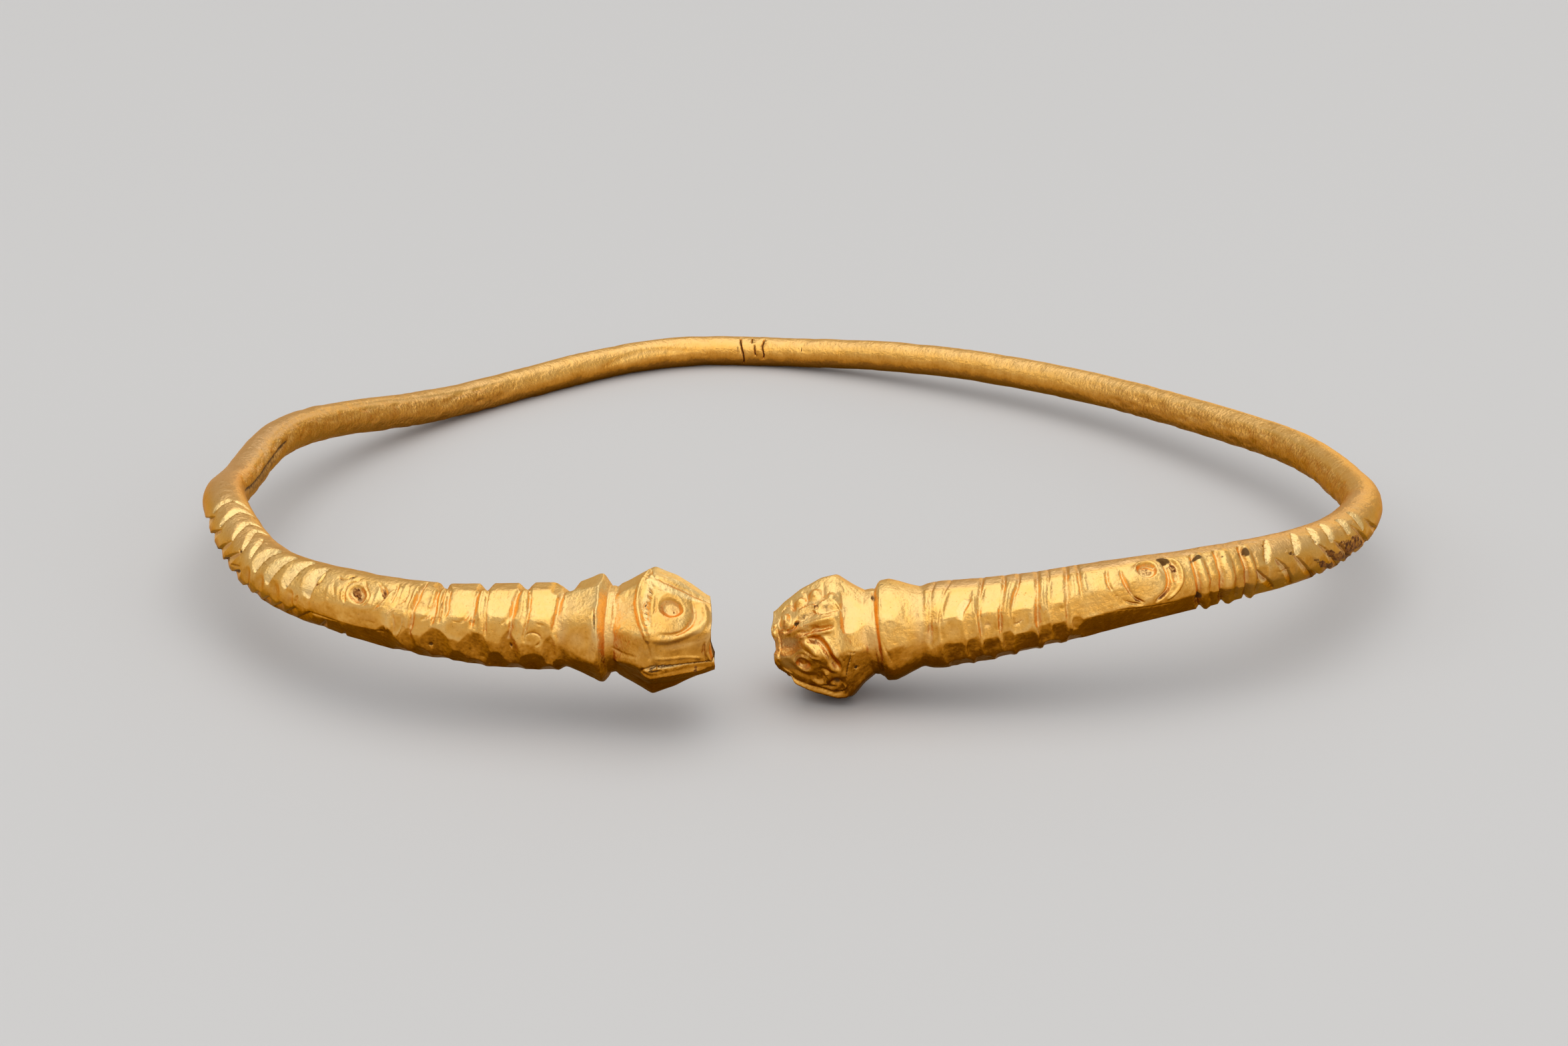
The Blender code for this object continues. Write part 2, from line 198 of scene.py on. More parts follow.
class Skin:
    """Reach of the gold from the rod's middle line, in millimetres, over one stretch.

    A path runs through points, each a distance from the muzzle and then a direction round
    the rod. soil is the brown dirt left in a cut, and in three hollows of the right head
    painted shade; rust is the hard red-brown crust.
    """

    def __init__(self, stations, nearer, rod, lean=0.0):
        self.stations = stations
        self.rod = rod
        self.at, self.facing = np.meshgrid(stations, around, indexing="ij")
        nearer = np.meshgrid(nearer, around, indexing="ij")[0]
        leaning = lean * ramp(nearer, 4.8, 5.6) * (1 - ramp(nearer, 9.0, 10.5))
        self.girth = np.interp(nearer - leaning * np.sin(np.radians(self.facing)), *zip(*rod))
        self.girth = soften(self.girth, 1, 0)
        # Nothing was cut quite true, so the lines of every cut wander slightly.
        laid = np.stack((self.at, PER_DEGREE * self.facing, np.zeros_like(self.at)), axis=-1)
        self.at = self.at + 0.035 * lumps(laid, 0.9, 11) + 0.01 * lumps(laid, 0.35, 12)
        self.facing = self.facing + 1.0 * lumps(laid, 1.1, 13) + 0.25 * lumps(laid, 0.4, 14)
        self.reach = self.girth.copy()
        self.slide, self.soil, self.rust, self.fresh_and_highlight = np.zeros((4, *self.reach.shape))

    def trace(self, path, width):
        """The stations near a drawn curve, and there the distance from it, side and share."""
        path = np.reshape(path, (-1, 2)).astype(float)
        if len(path) > 2:
            knots = steps_along(path * (1.0, PER_DEGREE))
            path = spline(knots, path)(np.linspace(0, knots[-1], 5 * (len(path) - 1) + 1))
        middle = path[:, 1].mean()
        low, high = path[:, 0].min() - width, path[:, 0].max() + width
        rows = slice(*np.searchsorted(self.stations, (low, high)))
        x = self.at[rows]
        y = unroll(x, turn(self.facing[rows], middle) + middle)
        px, py = path[:, 0], unroll(path[:, 0], path[:, 1])
        starts = steps_along(np.column_stack((px, py)))
        best = np.full(x.shape, np.inf)
        side = np.zeros(x.shape)
        share = np.zeros(x.shape)
        for i, length in enumerate(np.diff(starts)):
            dx, dy = (px[i + 1] - px[i]) / length, (py[i + 1] - py[i]) / length
            run = np.clip((x - px[i]) * dx + (y - py[i]) * dy, 0, length)
            ox, oy = x - px[i] - run * dx, y - py[i] - run * dy
            away = np.hypot(ox, oy)
            closer = away < best
            best = np.where(closer, away, best)
            side = np.where(closer, np.sign(dx * oy - dy * ox), side)
            share = np.where(closer, (starts[i] + run) / starts[-1], share)
        return rows, best, side, share

    def mark(self, rows, inside, soil, rust):
        self.soil[rows] = np.maximum(self.soil[rows], soil * inside)
        self.rust[rows] = np.maximum(self.rust[rows], rust * inside)

    def groove(self, path, half, depth, soil=0, taper=0.3, rust=0, edge=1, bed=0):
        """A groove of that half width, rounded (edge 1) to V-shaped (edge 0).

        taper is the share of its length over which each end runs out, and bed the share
        of the width that its level bottom takes. A depth below 0 raises a ridge.
        """
        rows, away, _, share = self.trace(path, half)
        ends = np.clip(np.minimum(share, 1 - share) / max(taper, 1e-3), 0, 1) ** 0.6
        ends = np.maximum(ends, 0.05)
        hollow = np.clip((1 - away / (half * (0.35 + 0.65 * ends))) / (1 - bed), 0, 1)
        hollow = hollow * (1 - edge) + hollow * hollow * (3 - 2 * hollow) * edge
        self.reach[rows] -= depth * ends * hollow
        self.mark(rows, hollow * ends, soil, rust)

    def ridge(self, path, half, height, taper=0.3, edge=1):
        self.groove(path, half, -height, taper=taper, edge=edge)

    def carve(self, *cuts):
        """Grooves and ridges one after another, each a row of what a groove takes."""
        for cut in cuts:
            self.groove(*cut)

    def wedge(self, path, width, depth, soil=0, wall=0.1, steep=1):
        """A chisel cut with a steep wall on one side and a long slope on the other.

        steep is 1 where the wall is left of the path as it is walked with directions
        counted upwards, and -1 where it is on the right.
        """
        rows, away, side, share = self.trace(path, width)
        leaf = np.sin(math.pi * np.clip(share, 0, 1)) ** 0.3
        reach = np.where(side == steep, wall, width) * np.maximum(leaf, 0.02)
        hollow = np.clip(1 - away / reach, 0, 1) * (leaf > 0.03)
        self.reach[rows] -= depth * leaf * hollow
        # The long slope is marked as bare cut gold, which the material also paints bright as a highlight
        # where it faces up.
        self.fresh_and_highlight[rows] = np.maximum(self.fresh_and_highlight[rows], ramp(hollow, 0.0, 0.12) * (side != steep))
        self.mark(rows, ramp(hollow, 0.55, 1.0), soil, 0.0)

    def punch(self, at, facing, size, depth, soil=0, rust=0, wall=0.3, lean=0):
        """A round hollow; wall is the share of it taken up by its sloping sides."""
        long, wide = size if isinstance(size, tuple) else (size, size)
        low, high = at - max(long, wide), at + max(long, wide)
        rows = slice(*np.searchsorted(self.stations, (low, high)))
        x = self.at[rows] - at
        y = unroll(np.full_like(x, at), turn(self.facing[rows], facing))
        c, s = math.cos(math.radians(lean)), math.sin(math.radians(lean))
        away = np.hypot((x * c + y * s) / long, (y * c - x * s) / wide)
        inside = 1 - ramp(away, 1 - wall, 1.0)
        self.reach[rows] -= depth * inside
        self.mark(rows, inside, soil, rust)

    def boss(self, at, facing, size, height, wall=1, lean=0):
        self.punch(at, facing, size, -height, wall=wall, lean=lean)

    def stain(self, at, facing, size, soil=0, rust=0, lean=0):
        self.punch(at, facing, size, 0, soil, rust, 0.55, lean)

    def bare_and_highlight(self, share):
        """Gold laid bare by the chisel, as a share of each place; the material also paints it bright as a
        highlight where it faces up.
        """
        self.fresh_and_highlight = np.maximum(self.fresh_and_highlight, share)

    def flat(self, at, facing, sink, half, slant=0, tilt=0, box=4, spread=75):
        """A flat filed on the rod: its sink, half length, slant round the rod and tilt.

        The higher box is, the squarer are its ends; spread is its reach in degrees.
        """
        off = turn(self.facing, facing)
        u = (self.at - at - slant * off / 90.0) / half
        near = (np.abs(off) < spread) & (np.abs(u) < 1.4)
        level = np.interp(at, *zip(*self.rod)) - sink * (1 - np.abs(u) ** box) + tilt * u
        plane = level / np.cos(np.radians(np.clip(off, -75, 75)))
        self.reach = np.where(near, soft_least(self.reach, plane, 0.035), self.reach)


# ---- The two heads ----
# Each end of the rod was forged into an eight-sided block, widest at the brow, and
# the beast's face was cut into it with chisels and a round-nosed punch.

# For each flat round the head (0 = cheek, 90 = crown): its distance from the middle
# line at the muzzle, the eyes, the brow and the neck.
LEFT_HEAD_AT = (0.0, 2.0, 3.4, 5.5)
LEFT_HEAD = {90: (2.1, 3.18, 3.74, 2.48), 45: (1.97, 2.82, 3.27, 2.4),
             0: (1.86, 2.9, 3.55, 2.47), -45: (1.97, 2.84, 3.28, 2.42),
             -90: (2.0, 3.19, 3.81, 2.58)}
RIGHT_HEAD_AT = (0.0, 2.0, 3.3, 4.1, 4.9, 5.7)
RIGHT_HEAD = {90: (2.08, 3.05, 3.56, 3.6, 2.95, 2.5), 45: (2.04, 2.95, 3.28, 3.32, 2.84, 2.44),
              0: (1.94, 3.09, 3.6, 3.68, 2.95, 2.46), -45: (2.04, 2.95, 3.26, 3.28, 2.82, 2.44),
              -90: (2.0, 3.12, 3.66, 3.66, 3.02, 2.55)}


def head_block(skin, flats, places, roll):
    """The plain block of a head, turned about the rod by the roll."""
    block = np.full_like(skin.reach, 9.0)  # more than any flat's distance
    for flat, sizes in flats.items():
        size = np.interp(skin.at, places, sizes)
        for facing in sorted({flat, 180 - flat}):
            off = np.clip(turn(skin.facing - roll, facing), -80, 80)
            block = soft_least(block, size / np.cos(np.radians(off)), 0.12)
    block = soften(block, 2, 1)
    blend = ramp(skin.at, places[-1] - 0.15, places[-1] + 0.15)
    skin.reach = block * (1 - blend) + skin.reach * blend


left = Skin(arm_stations, arm_stations, LEFT_ROD, lean=0.12)
right = Skin(arm_stations, arm_stations, RIGHT_ROD, lean=0.12)
head_block(left, LEFT_HEAD, LEFT_HEAD_AT, 0.0)
head_block(right, RIGHT_HEAD, RIGHT_HEAD_AT, -68.0)


def muzzle_rim(skin, shape, deep):
    """Push the end of a muzzle back or out, by direction, fading out along the head."""
    facings, pushes = zip(*shape)
    push = np.interp(turn(skin.facing, 0.0), facings, pushes)
    skin.slide += push * (1 - ramp(skin.at, 0.0, deep))


# ---- The left head ----
# It looks out from the side: a drilled eye on a raised disc, a ring of chisel marks
# behind it, and a mouth cut deep above the ledge of the lower jaw.

# The crown's edge, cut along the head and over the brow.
left.wedge((-0.4, 83, 0.6, 82, 1.7, 81, 3.1, 80.5, 3.7, 80), 0.72, 0.2, soil=0.15)
left.carve(
    ((3.1, 80.5, 3.4, 86, 3.62, 99), 0.13, 0.1, 0.15), ((0.1, 90, 2, 90, 3.3, 91), 0.3, -0.05))
# The strip along the crown is painted bright, as bare cut gold and as a painted highlight.
left.bare_and_highlight(ramp(left.facing, 82, 87) * (1 - ramp(left.facing, 130, 140))
              * (1 - ramp(left.at, 3.2, 3.7)))
left.carve(
    ((2.55, 69, 3.1, 68), 0.07, 0.07, 0.6, 0.3, 0.4),
    # The rim round the front of the eye, and the groove inside it.
    ((0.42, 68, 0.28, 52, 0.38, 37, 0.85, 24, 1.5, 15.5, 2.4, 12.5, 3.1, 13), 0.3, -0.16, 0, 0.12),
    ((1.02, 70, 0.92, 60, 0.86, 49, 0.94, 36, 1.2, 26, 1.6, 20, 2.15, 17.5, 2.75, 18.5), 0.18, 0.13, 0.15,
     0.2))
# The disc, the drilled eye and the grain left in its floor.
left.boss(1.95, 44, (1, 1.15), 0.1, wall=0.4)
left.boss(1.92, 46, (0.36, 0.3), 0.06)
left.punch(2.1, 51, (0.8, 0.72), 0.42, soil=0.1, wall=0.5, lean=-7)
left.stain(1.98, 48, (0.2, 0.25), rust=0.45)
left.carve(
    ((1.3, 58, 1.75, 67, 2.35, 67, 2.85, 59), 0.12, -0.06),
    ((1.95, 51, 1.98, 45), 0.05, 0.05, 0.4, 0.3, 0.8),
    # The crescent behind the eye, its chisel marks, and the arc that closes it.
    ((3.2, 79, 3.52, 66, 3.6, 52, 3.48, 37, 3.15, 21), 0.42, 0.2, 0, 0.2))
for step in range(10):
    facing = 69 - 5.6 * step
    start = 2.98 + 0.38 * math.sin(math.pi * (step + 1.2) / 11.5)
    rise = 7.0 - 1.1 * step
    left.groove((start, facing - 3, start + 0.42, facing + rise), 0.085, 0.1,
                soil=0.7 if step % 3 else 0.35, edge=0.3)
# A band along the crescent is painted bright, as bare cut gold and as a painted highlight.
rows, away, _, _ = left.trace((3.35, 76, 3.56, 62, 3.58, 48, 3.36, 30), 0.3)
left.fresh_and_highlight[rows] = np.maximum(left.fresh_and_highlight[rows], 0.9 * (1 - ramp(away, 0.14, 0.26)))
left.carve(
    ((3.58, 53, 3.72, 49), 0.1, 0.12, 0.9, 0.3, 0.9), ((3.05, 62, 3, 48, 3.1, 36), 0.12, 0.08, 0.3),
    ((3.64, 100, 3.84, 86, 4.08, 72, 4.18, 58, 4.07, 44, 3.82, 31, 3.45, 19, 3.15, 11), 0.25, -0.2, 0,
     0.07),
    # The cheek, its lower edge and the crease behind it.
    ((3.42, 12, 3.24, 3, 3.16, -9), 0.16, 0.09, 0.2, 0.15),
    ((0.35, -20, 1, -14.5, 2, -10.5, 3, -7), 0.13, -0.06, 0, 0.1), ((0.4, 12, 1.6, 5, 2.8, 4), 0.35, 0.04))
# The mouth: a recess under the cheek, and the ledge of the jaw standing out below it.
left.stain(0.85, -44, (0.14, 0.3), rust=0.8)
left.stain(1.9, -40, (0.6, 0.14), rust=0.25)
left.wedge((-1.2, -43, 0, -37.5, 1, -32.5, 2, -27.5, 3, -23, 3.9, -22), 0.66, 0.32, soil=0.3, wall=0.06)
left.carve(
    ((3.72, -20, 3, -20.5, 2, -25, 1, -30, 0, -35, -1.5, -41), 0.3, 0.5, 0.8, 0.1, 0, 0.3, 0.5),
    ((2.6, -30, 3.1, -27.5, 3.45, -25), 0.12, 0.1, 1, 0.3, 0.6),
    ((3.8, -26, 3.5, -33, 2.6, -39, 1.6, -43, 0.4, -50), 0.24, -0.14, 0, 0.1),
    ((0.6, -72, 2, -66, 3.2, -60, 4.2, -48), 0.5, 0.08))
# Knocks and scratches on the cone behind the brow.
left.boss(5.3, -22, (0.2, 0.15), 0.05)
left.carve(
    ((4.25, 44, 4.5, 42), 0.08, 0.07, 0.6), ((4.45, 25, 5, 21, 5.5, 18), 0.05, 0.045, 0.3),
    ((4.5, 12, 4.6, 5, 4.75, 9), 0.06, 0.04, 0.3), ((5.45, 37, 5.5, 34), 0.07, 0.05, 0.5),
    ((3.9, -8, 4.9, -9, 5.6, -4), 0.16, 0.05, 0.2))
# The muzzle's end is cut back on the upper side; the jaw keeps a rolled lip.
muzzle_rim(left, ((-180, 0.35), (-115, 0.15), (-80, -0.25), (-50, -0.42), (-28, -0.32),
                  (-12, -0.12), (0, -0.16), (15, -0.26), (45, -0.25), (60, -0.18), (75, -0.08),
                  (92, 0.05), (125, 0.3), (180, 0.35)), 1.4)
left.carve(
    ((0.1, 20, 0.12, -5, 0.05, -28, 0.1, -60), 0.1, -0.07, 0, 0.2),
    ((0.28, 8, 0.27, -12, 0.3, -30), 0.09, 0.1, 0.5, 0.2))

# ---- The left collar ----
# Behind the head the smith cut a groove round the gold and left a flared collar, which
# is filed to three faces in front.

for band, foot in ((left, 5.98), (right, 6.3)):
    band.groove((foot, 179, foot, 95, foot + 0.02, 60, foot + 0.06, 0, foot - 0.02, -60, foot - 0.1, -179),
                0.17, 0.07, soil=0.1, taper=0.01)
left.ridge((5.68, 100, 5.7, 60, 5.72, 18), 0.1, 0.05, taper=0.1)
for face in (
        (7.75, 54, 0.05, 1.15, 0, -0.38, 8), (7.55, 3, 0.16, 0.95, 0, -0.28, 2.4, 30),
        (7.7, -42, 0.1, 1.1, 0, -0.3, 3), (7.7, 92, 0.04, 1.2, 0, -0.36, 5)):
    left.flat(*face)
left.boss(6.6, 42, (0.35, 0.55), 0.07)
# The front bevel of the collar is painted bright, as bare cut gold and as a painted highlight.
bevel = ramp(left.at, 6.0, 6.2) * (1 - ramp(left.at, 6.62, 6.8)) * ramp(left.facing, -10, 15)
left.bare_and_highlight(0.9 * bevel * (1 - ramp(left.facing, 150, 170)))
left.carve(
    ((6.72, 43, 6.62, 32, 6.55, 16), 0.09, 0.17, 0.95, 0.3, 0, 0.4),
    ((6.5, 80, 6.52, 62, 6.48, 46), 0.12, -0.05), ((8.55, 92, 8.57, 58, 8.6, 22), 0.09, -0.05, 0, 0.1),
    ((7, 68, 8.2, 70), 0.3, 0.02))


# ---- The left beads and grooves ----
# A row of beads parted by pairs of V cuts with a thin fin between them, and three
# rows of filed flats along the outer side that die out towards the back.

def v_cut(skin, path, half, depth, soil=0.15):
    """A cut across the arm with a sharp bottom, from the top down to where it runs out."""
    skin.groove(path, half, depth, soil, taper=0.14, edge=0.25)


# The flats: along the top, on the beads' upper face, round their middle, and the
# scallops under them, which lie between the beads.
for at, half in ((9.75, 1.05), (12.1, 1.1), (14.6, 1.2), (16.5, 0.6)):
    left.flat(at, 96, 0.07, half, box=3, spread=24)
for face in (
        (9.8, 56, 0.17, 0.95, 0.1), (12.15, 55, 0.17, 0.95, 0.15), (14.65, 53, 0.17, 0.95, 0.25),
        (16.7, 50, 0.15, 0.7, 0.3), (18, 52, 0.12, 0.5, 0.2)):
    left.flat(*face, box=8, spread=36)
for face in (
        (10.2, 8, 0.15, 0.95, 0), (12.5, 12, 0.16, 0.75, 0), (14.8, 10, 0.15, 0.85, 0.1),
        (16.85, 8, 0.15, 0.75, 0.2), (18.1, 6, 0.12, 0.65, 0.3), (11.35, 14, 0.1, 0.45, 0.2),
        (13.6, 20, 0.08, 0.35, 0.1)):
    left.flat(*face, box=2.6, spread=32)
for face in (
        (9.35, -14, 0.28, 0.55), (11.75, -14, 0.34, 0.62), (13.8, -18, 0.36, 1), (15.95, -20, 0.34, 1),
        (17.5, -20, 0.24, 0.5), (18.9, -24, 0.25, 0.7), (10.55, -12, 0.1, 0.6), (12.75, -10, 0.1, 0.5),
        (14.9, -12, 0.1, 0.5), (16.95, -14, 0.1, 0.4), (10.4, -36, 0.2, 0.75), (12.6, -38, 0.2, 0.75),
        (14.85, -42, 0.16, 0.7), (17, -46, 0.16, 0.75), (9.6, -60, 0.14, 0.6), (11.6, -58, 0.16, 0.55),
        (13.9, -54, 0.16, 0.55), (15.9, -60, 0.14, 0.6), (18.1, -60, 0.14, 0.7), (12.8, -78, 0.12, 0.7),
        (15, -80, 0.12, 0.7), (10.5, -80, 0.12, 0.7)):
    left.flat(*face, box=2, spread=38, slant=0.2)
# The notch over the top of each gap, which parts into two V cuts down the front.
for at in (8.35, 11.05, 13.5, 16.2):
    left.groove((at + 0.1, 165, at, 125, at - 0.03, 104, at - 0.1, 80), 0.52, 0.46, soil=0.1, taper=0.12,
                edge=0.2)
for cut in (
        ((8.42, 116, 8.55, 96, 8.75, 70, 8.95, 40, 9.15, 18, 9.3, 0), 0.22, 0.12),
        ((11, 114, 10.8, 96, 10.68, 80, 10.58, 55, 10.6, 36, 10.72, 18, 10.9, 4), 0.15, 0.15),
        ((11.1, 114, 11.05, 98, 11.2, 82, 11.42, 60, 11.5, 40, 11.6, 22, 11.75, 2), 0.22, 0.19),
        ((13.45, 114, 13.25, 96, 13.12, 80, 13.08, 55, 13.06, 36, 13.05, 14, 13, -2), 0.14, 0.15),
        ((13.56, 114, 13.52, 98, 13.65, 84, 13.74, 62, 13.72, 44, 13.8, 26, 13.9, 8), 0.2, 0.2),
        ((16.12, 114, 15.8, 96, 15.45, 80, 15.35, 58, 15.3, 40, 15.4, 22), 0.16, 0.16),
        ((15.75, 92, 15.68, 66, 15.62, 42, 15.66, 18), 0.1, 0.16, 0.5),
        ((16.25, 114, 16.15, 98, 16.1, 80, 16.08, 58, 15.98, 36, 16.1, 12), 0.16, 0.2),
        ((17.15, 100, 17.2, 78, 17.22, 56, 17.25, 36, 17.3, 12, 17.4, -8), 0.19, 0.22)):
    v_cut(left, *cut)
left.groove((15.66, 60, 15.68, 42, 15.64, 26), 0.05, 0.09, soil=0.8, rust=0.8)
# The thin fins left standing between the pairs, rising to a bright edge.
for path in (
        (10.95, 82, 11, 60, 11.02, 40, 11.2, 22, 11.28, 8),
        (13.38, 84, 13.46, 60, 13.4, 40, 13.36, 22, 13.46, 8), (15.82, 82, 15.84, 60, 15.8, 40, 15.86, 16),
        (16.32, 76, 16.34, 58, 16.4, 40), (9.02, 74, 9.05, 52, 9.1, 36)):
    left.ridge(path, 0.13, 0.09, taper=0.12, edge=0.6)
# Each panel's lower near corner is rounded off.
for at, facing in ((11.72, 33), (14.12, 32), (16.3, 30)):
    left.groove((at - 0.2, facing + 20, at, facing, at + 0.42, facing - 10), 0.24, 0.13, edge=0.4)
left.groove((15, 26, 14.75, 24, 14.45, 22), 0.08, 0.04, soil=0.3)
# A ring struck on the first bead's middle flat.
for step in range(9):
    start, stop = math.radians(-20 + 30 * step), math.radians(14 + 30 * step)
    left.groove([(10.32 + 0.5 * math.cos(a), 3 + 10.5 * math.sin(a)) for a in (start, stop)], 0.09, 0.075,
                soil=0.5, taper=0.2)
left.carve(
    ((9.55, 23, 10.2, 27), 0.12, 0.06),
    # Small fins and creases behind the last bead.
    ((17.45, 84, 17.5, 60, 17.48, 34), 0.1, -0.09, 0, 0.15),
    ((17.85, 84, 17.85, 60, 17.8, 44), 0.08, -0.06, 0, 0.15),
    ((18.2, 88, 18.22, 66, 18.26, 46), 0.08, -0.08, 0, 0.2),
    ((17.72, 32, 17.8, 10, 18.1, -14), 0.09, -0.07, 0, 0.1),
    ((18.2, 34, 18.62, 24, 18.72, 4, 18.68, -14), 0.1, -0.1, 0, 0.15),
    ((17.98, 78, 17.95, 52, 18.2, 40), 0.1, 0.09, 0.3),
    ((18.72, 82, 18.62, 62, 18.66, 40), 0.12, 0.14, 0.3, 0.15),
    ((18.45, 30, 18.3, 5, 18.4, -16), 0.14, 0.08, 0.15))
# Dark spots in the lower hollows.
for pit in (
        (16.25, -26, (0.13, 0.16), 0.1, 1, 0.3), (11.6, -10, (0.09, 0.14), 0.08, 1, 0.6),
        (18.6, -62, (0.4, 0.75), 0.1, 0.35, 0, 0.9)):
    left.punch(*pit)

# The eye on the arm: a drilled pit filled with red-brown crust, and crescents round it.
left.punch(20.88, 44, (0.8, 0.64), 0.34, soil=0.2, wall=0.5, lean=50)
for spot in (
        (19.25, 54, (0.18, 0.6), 0, 0.75, -14), (21.02, 48, (0.6, 0.42), 0, 0.8, 50),
        (20.75, 38, (0.4, 0.3), 0, 0.6, 50)):
    left.stain(*spot)
left.carve(
    ((19.92, 76, 19.5, 66, 19.22, 55, 19.1, 41), 0.26, 0.18, 0.3, 0.4, 0.6),
    ((19.66, 76, 19.6, 55, 19.62, 38, 19.75, 22), 0.16, -0.07, 0, 0.15),
    ((20.85, 74, 20.45, 58, 20.1, 45, 20.12, 34, 20.45, 24), 0.12, 0.1, 0.35, 0.15),
    ((19.95, 48, 19.98, 32, 20.35, 20, 20.95, 15.5, 21.5, 22, 21.78, 36, 21.75, 52), 0.16, -0.1, 0, 0.1))
for knob in ((21.05, 51), (20.65, 33), (20.95, 43), (20.45, 40)):
    left.boss(*knob, 0.17, 0.07)
left.punch(21.78, 76, 0.14, 0.12, soil=0.9)
left.punch(23.76, 43, 0.12, 0.05, soil=0.5, rust=0.9)
left.carve(
    ((18.75, 66, 19, 45, 19.35, 22, 19.75, 10, 20.1, 1), 0.16, -0.1, 0, 0.12),
    ((19.35, 38, 19.7, 22, 20.2, 8), 0.13, 0.08, 0.25, 0.2),
    ((21.25, 78, 21.35, 68, 21.72, 62, 21.75, 48, 21.62, 34, 21.45, 17), 0.1, 0.13, 0.4, 0.1),
    ((21.9, 78, 22.02, 68, 22.4, 66, 22.7, 70), 0.09, 0.12, 0.8, 0.2, 0.5),
    ((22.8, 62, 22.55, 44, 22.2, 28), 0.1, 0.05, 0.15), ((22.45, 60, 22.2, 42, 21.95, 24), 0.22, -0.05),
    ((23.7, 72, 23.62, 56, 23.74, 38), 0.1, 0.09, 0.4, 0.2, 0.3),
    ((22.95, 52, 22.8, 34, 22.7, 14), 0.14, -0.06))
for knob in ((21.75, 22, 0.22), (22.7, 19, 0.24), (22.3, 30, 0.16), (21.9, 40, 0.14)):
    left.boss(*knob, 0.06)
# The eye under the arm, half hidden: a bright leaf between two dark cuts.
left.carve(
    ((22, -20, 22.35, -34, 22.75, -54), 0.3, -0.2, 0, 0.35),
    ((22.95, -22, 23.5, -45, 24.4, -72), 0.3, 0.2, 0.4), ((21.5, -30, 22, -50, 22.6, -76), 0.2, 0.14, 0.5),
    ((18.9, -13, 20.2, -14, 21.6, -15, 23.2, -15, 24.2, -14), 0.1, 0.05, 0.35, 0.1))

left.flat(21.6, -36, 0.16, 3.2, box=5, spread=38)
left.flat(22, 4, 0.07, 2.6, box=5, spread=26)

# ---- The chisel cuts on the left arm ----
# Along the top a row of broad cuts, each with one steep wall; below them long slanting
# grooves that meet the cuts at an edge, like the barbs of a feather.

for cut in (
        ((24.05, 12, 23.93, 40, 23.9, 62, 23.88, 84), 0.95, 0.3),
        ((26.1, 16, 25.75, 48, 25.6, 74, 25.42, 96), 1, 0.32),
        ((28, 8, 27.45, 50, 27.28, 74, 27.1, 94), 1.05, 0.34),
        ((29.6, 20, 29.33, 46, 29.18, 70, 28.95, 92), 1.1, 0.36)):
    left.wedge(*cut, soil=0.12)
left.carve(
    ((24.15, 28, 24.2, 12, 24.3, -8), 0.35, 0.08, 0, 0.3, 0, 0.3),
    ((24.95, 14, 25.1, 4, 25.25, -8), 0.16, 0.08), ((24.9, 78, 25, 50, 24.92, 32), 0.1, -0.04))
for at, facing, half in ((25.85, 0, 0.5), (27.3, 4, 0.62), (29, 8, 0.6), (30.6, 4, 0.5)):
    left.flat(at, facing, 0.13, half, box=2, spread=32, slant=-0.3)
for cut in (
        ((30.62, 40, 30.95, 62, 31.35, 80, 31.9, 95), 0.42, 0.2),
        ((31.98, 42, 32.3, 62, 32.75, 78, 33.2, 90, 33.35, 102, 33.05, 124), 0.45, 0.2),
        ((33.75, 42, 34.05, 60, 34.45, 80, 34.68, 95, 34.65, 106, 34.3, 126), 0.42, 0.2),
        ((36.02, 35, 36.15, 56, 36.42, 80, 36.55, 93, 36.4, 106, 36, 126), 0.5, 0.22),
        ((37.95, 35, 38, 56, 38.1, 76, 38.12, 92), 0.48, 0.2),
        ((38.05, 95, 37.7, 106, 37.1, 126), 0.4, 0.2)):
    left.wedge(*cut, soil=0.12)
for path, depth in (
        ((32.1, 40, 33.25, 12, 34, -9, 35, -36, 36.2, -66, 36.95, -98), 0.24),
        ((33.85, 41, 34.65, 13, 35.3, -9, 36.3, -36, 37.4, -62, 38.5, -92), 0.22),
        ((35.7, 36, 36.95, 1, 38.05, -28, 39.25, -53, 40.35, -78), 0.26),
        ((37.45, 36, 38.85, 1, 40.15, -23, 41.4, -45, 42.7, -64), 0.26)):
    left.wedge(path, 0.62, depth, soil=0.4, wall=0.14)
left.punch(32.25, 39, (0.22, 0.14), 0.14, soil=0.9, rust=0.3)
for start, facing, drop in (
        (24, -12, 34), (25.25, -13, 34), (26.55, -14, 34), (27.9, -14, 38), (29.1, -15, 46),
        (30.4, -14, 62), (31.4, 6, 80)):
    left.wedge((start, facing, start + 0.024 * drop, facing - 0.5 * drop,
                start + 0.05 * drop, facing - drop), 0.5, 0.09 + 0.0018 * drop, soil=0.35, wall=0.16)
for spot in ((32, -6, (0.9, 0.25)), (34, -12, (0.9, 0.3)), (35.8, -16, (0.9, 0.3))):
    left.stain(*spot, soil=0.7, lean=-30)
left.groove((31.4, 14, 32.4, 3, 33.1, -6), 0.12, 0.09, soil=0.5)

# ---- The right head ----
# The same block turned about the rod, so that the crown looks forward: two rows of
# small knobs and hollows between the eyes, and a ring of chisel marks round each eye.

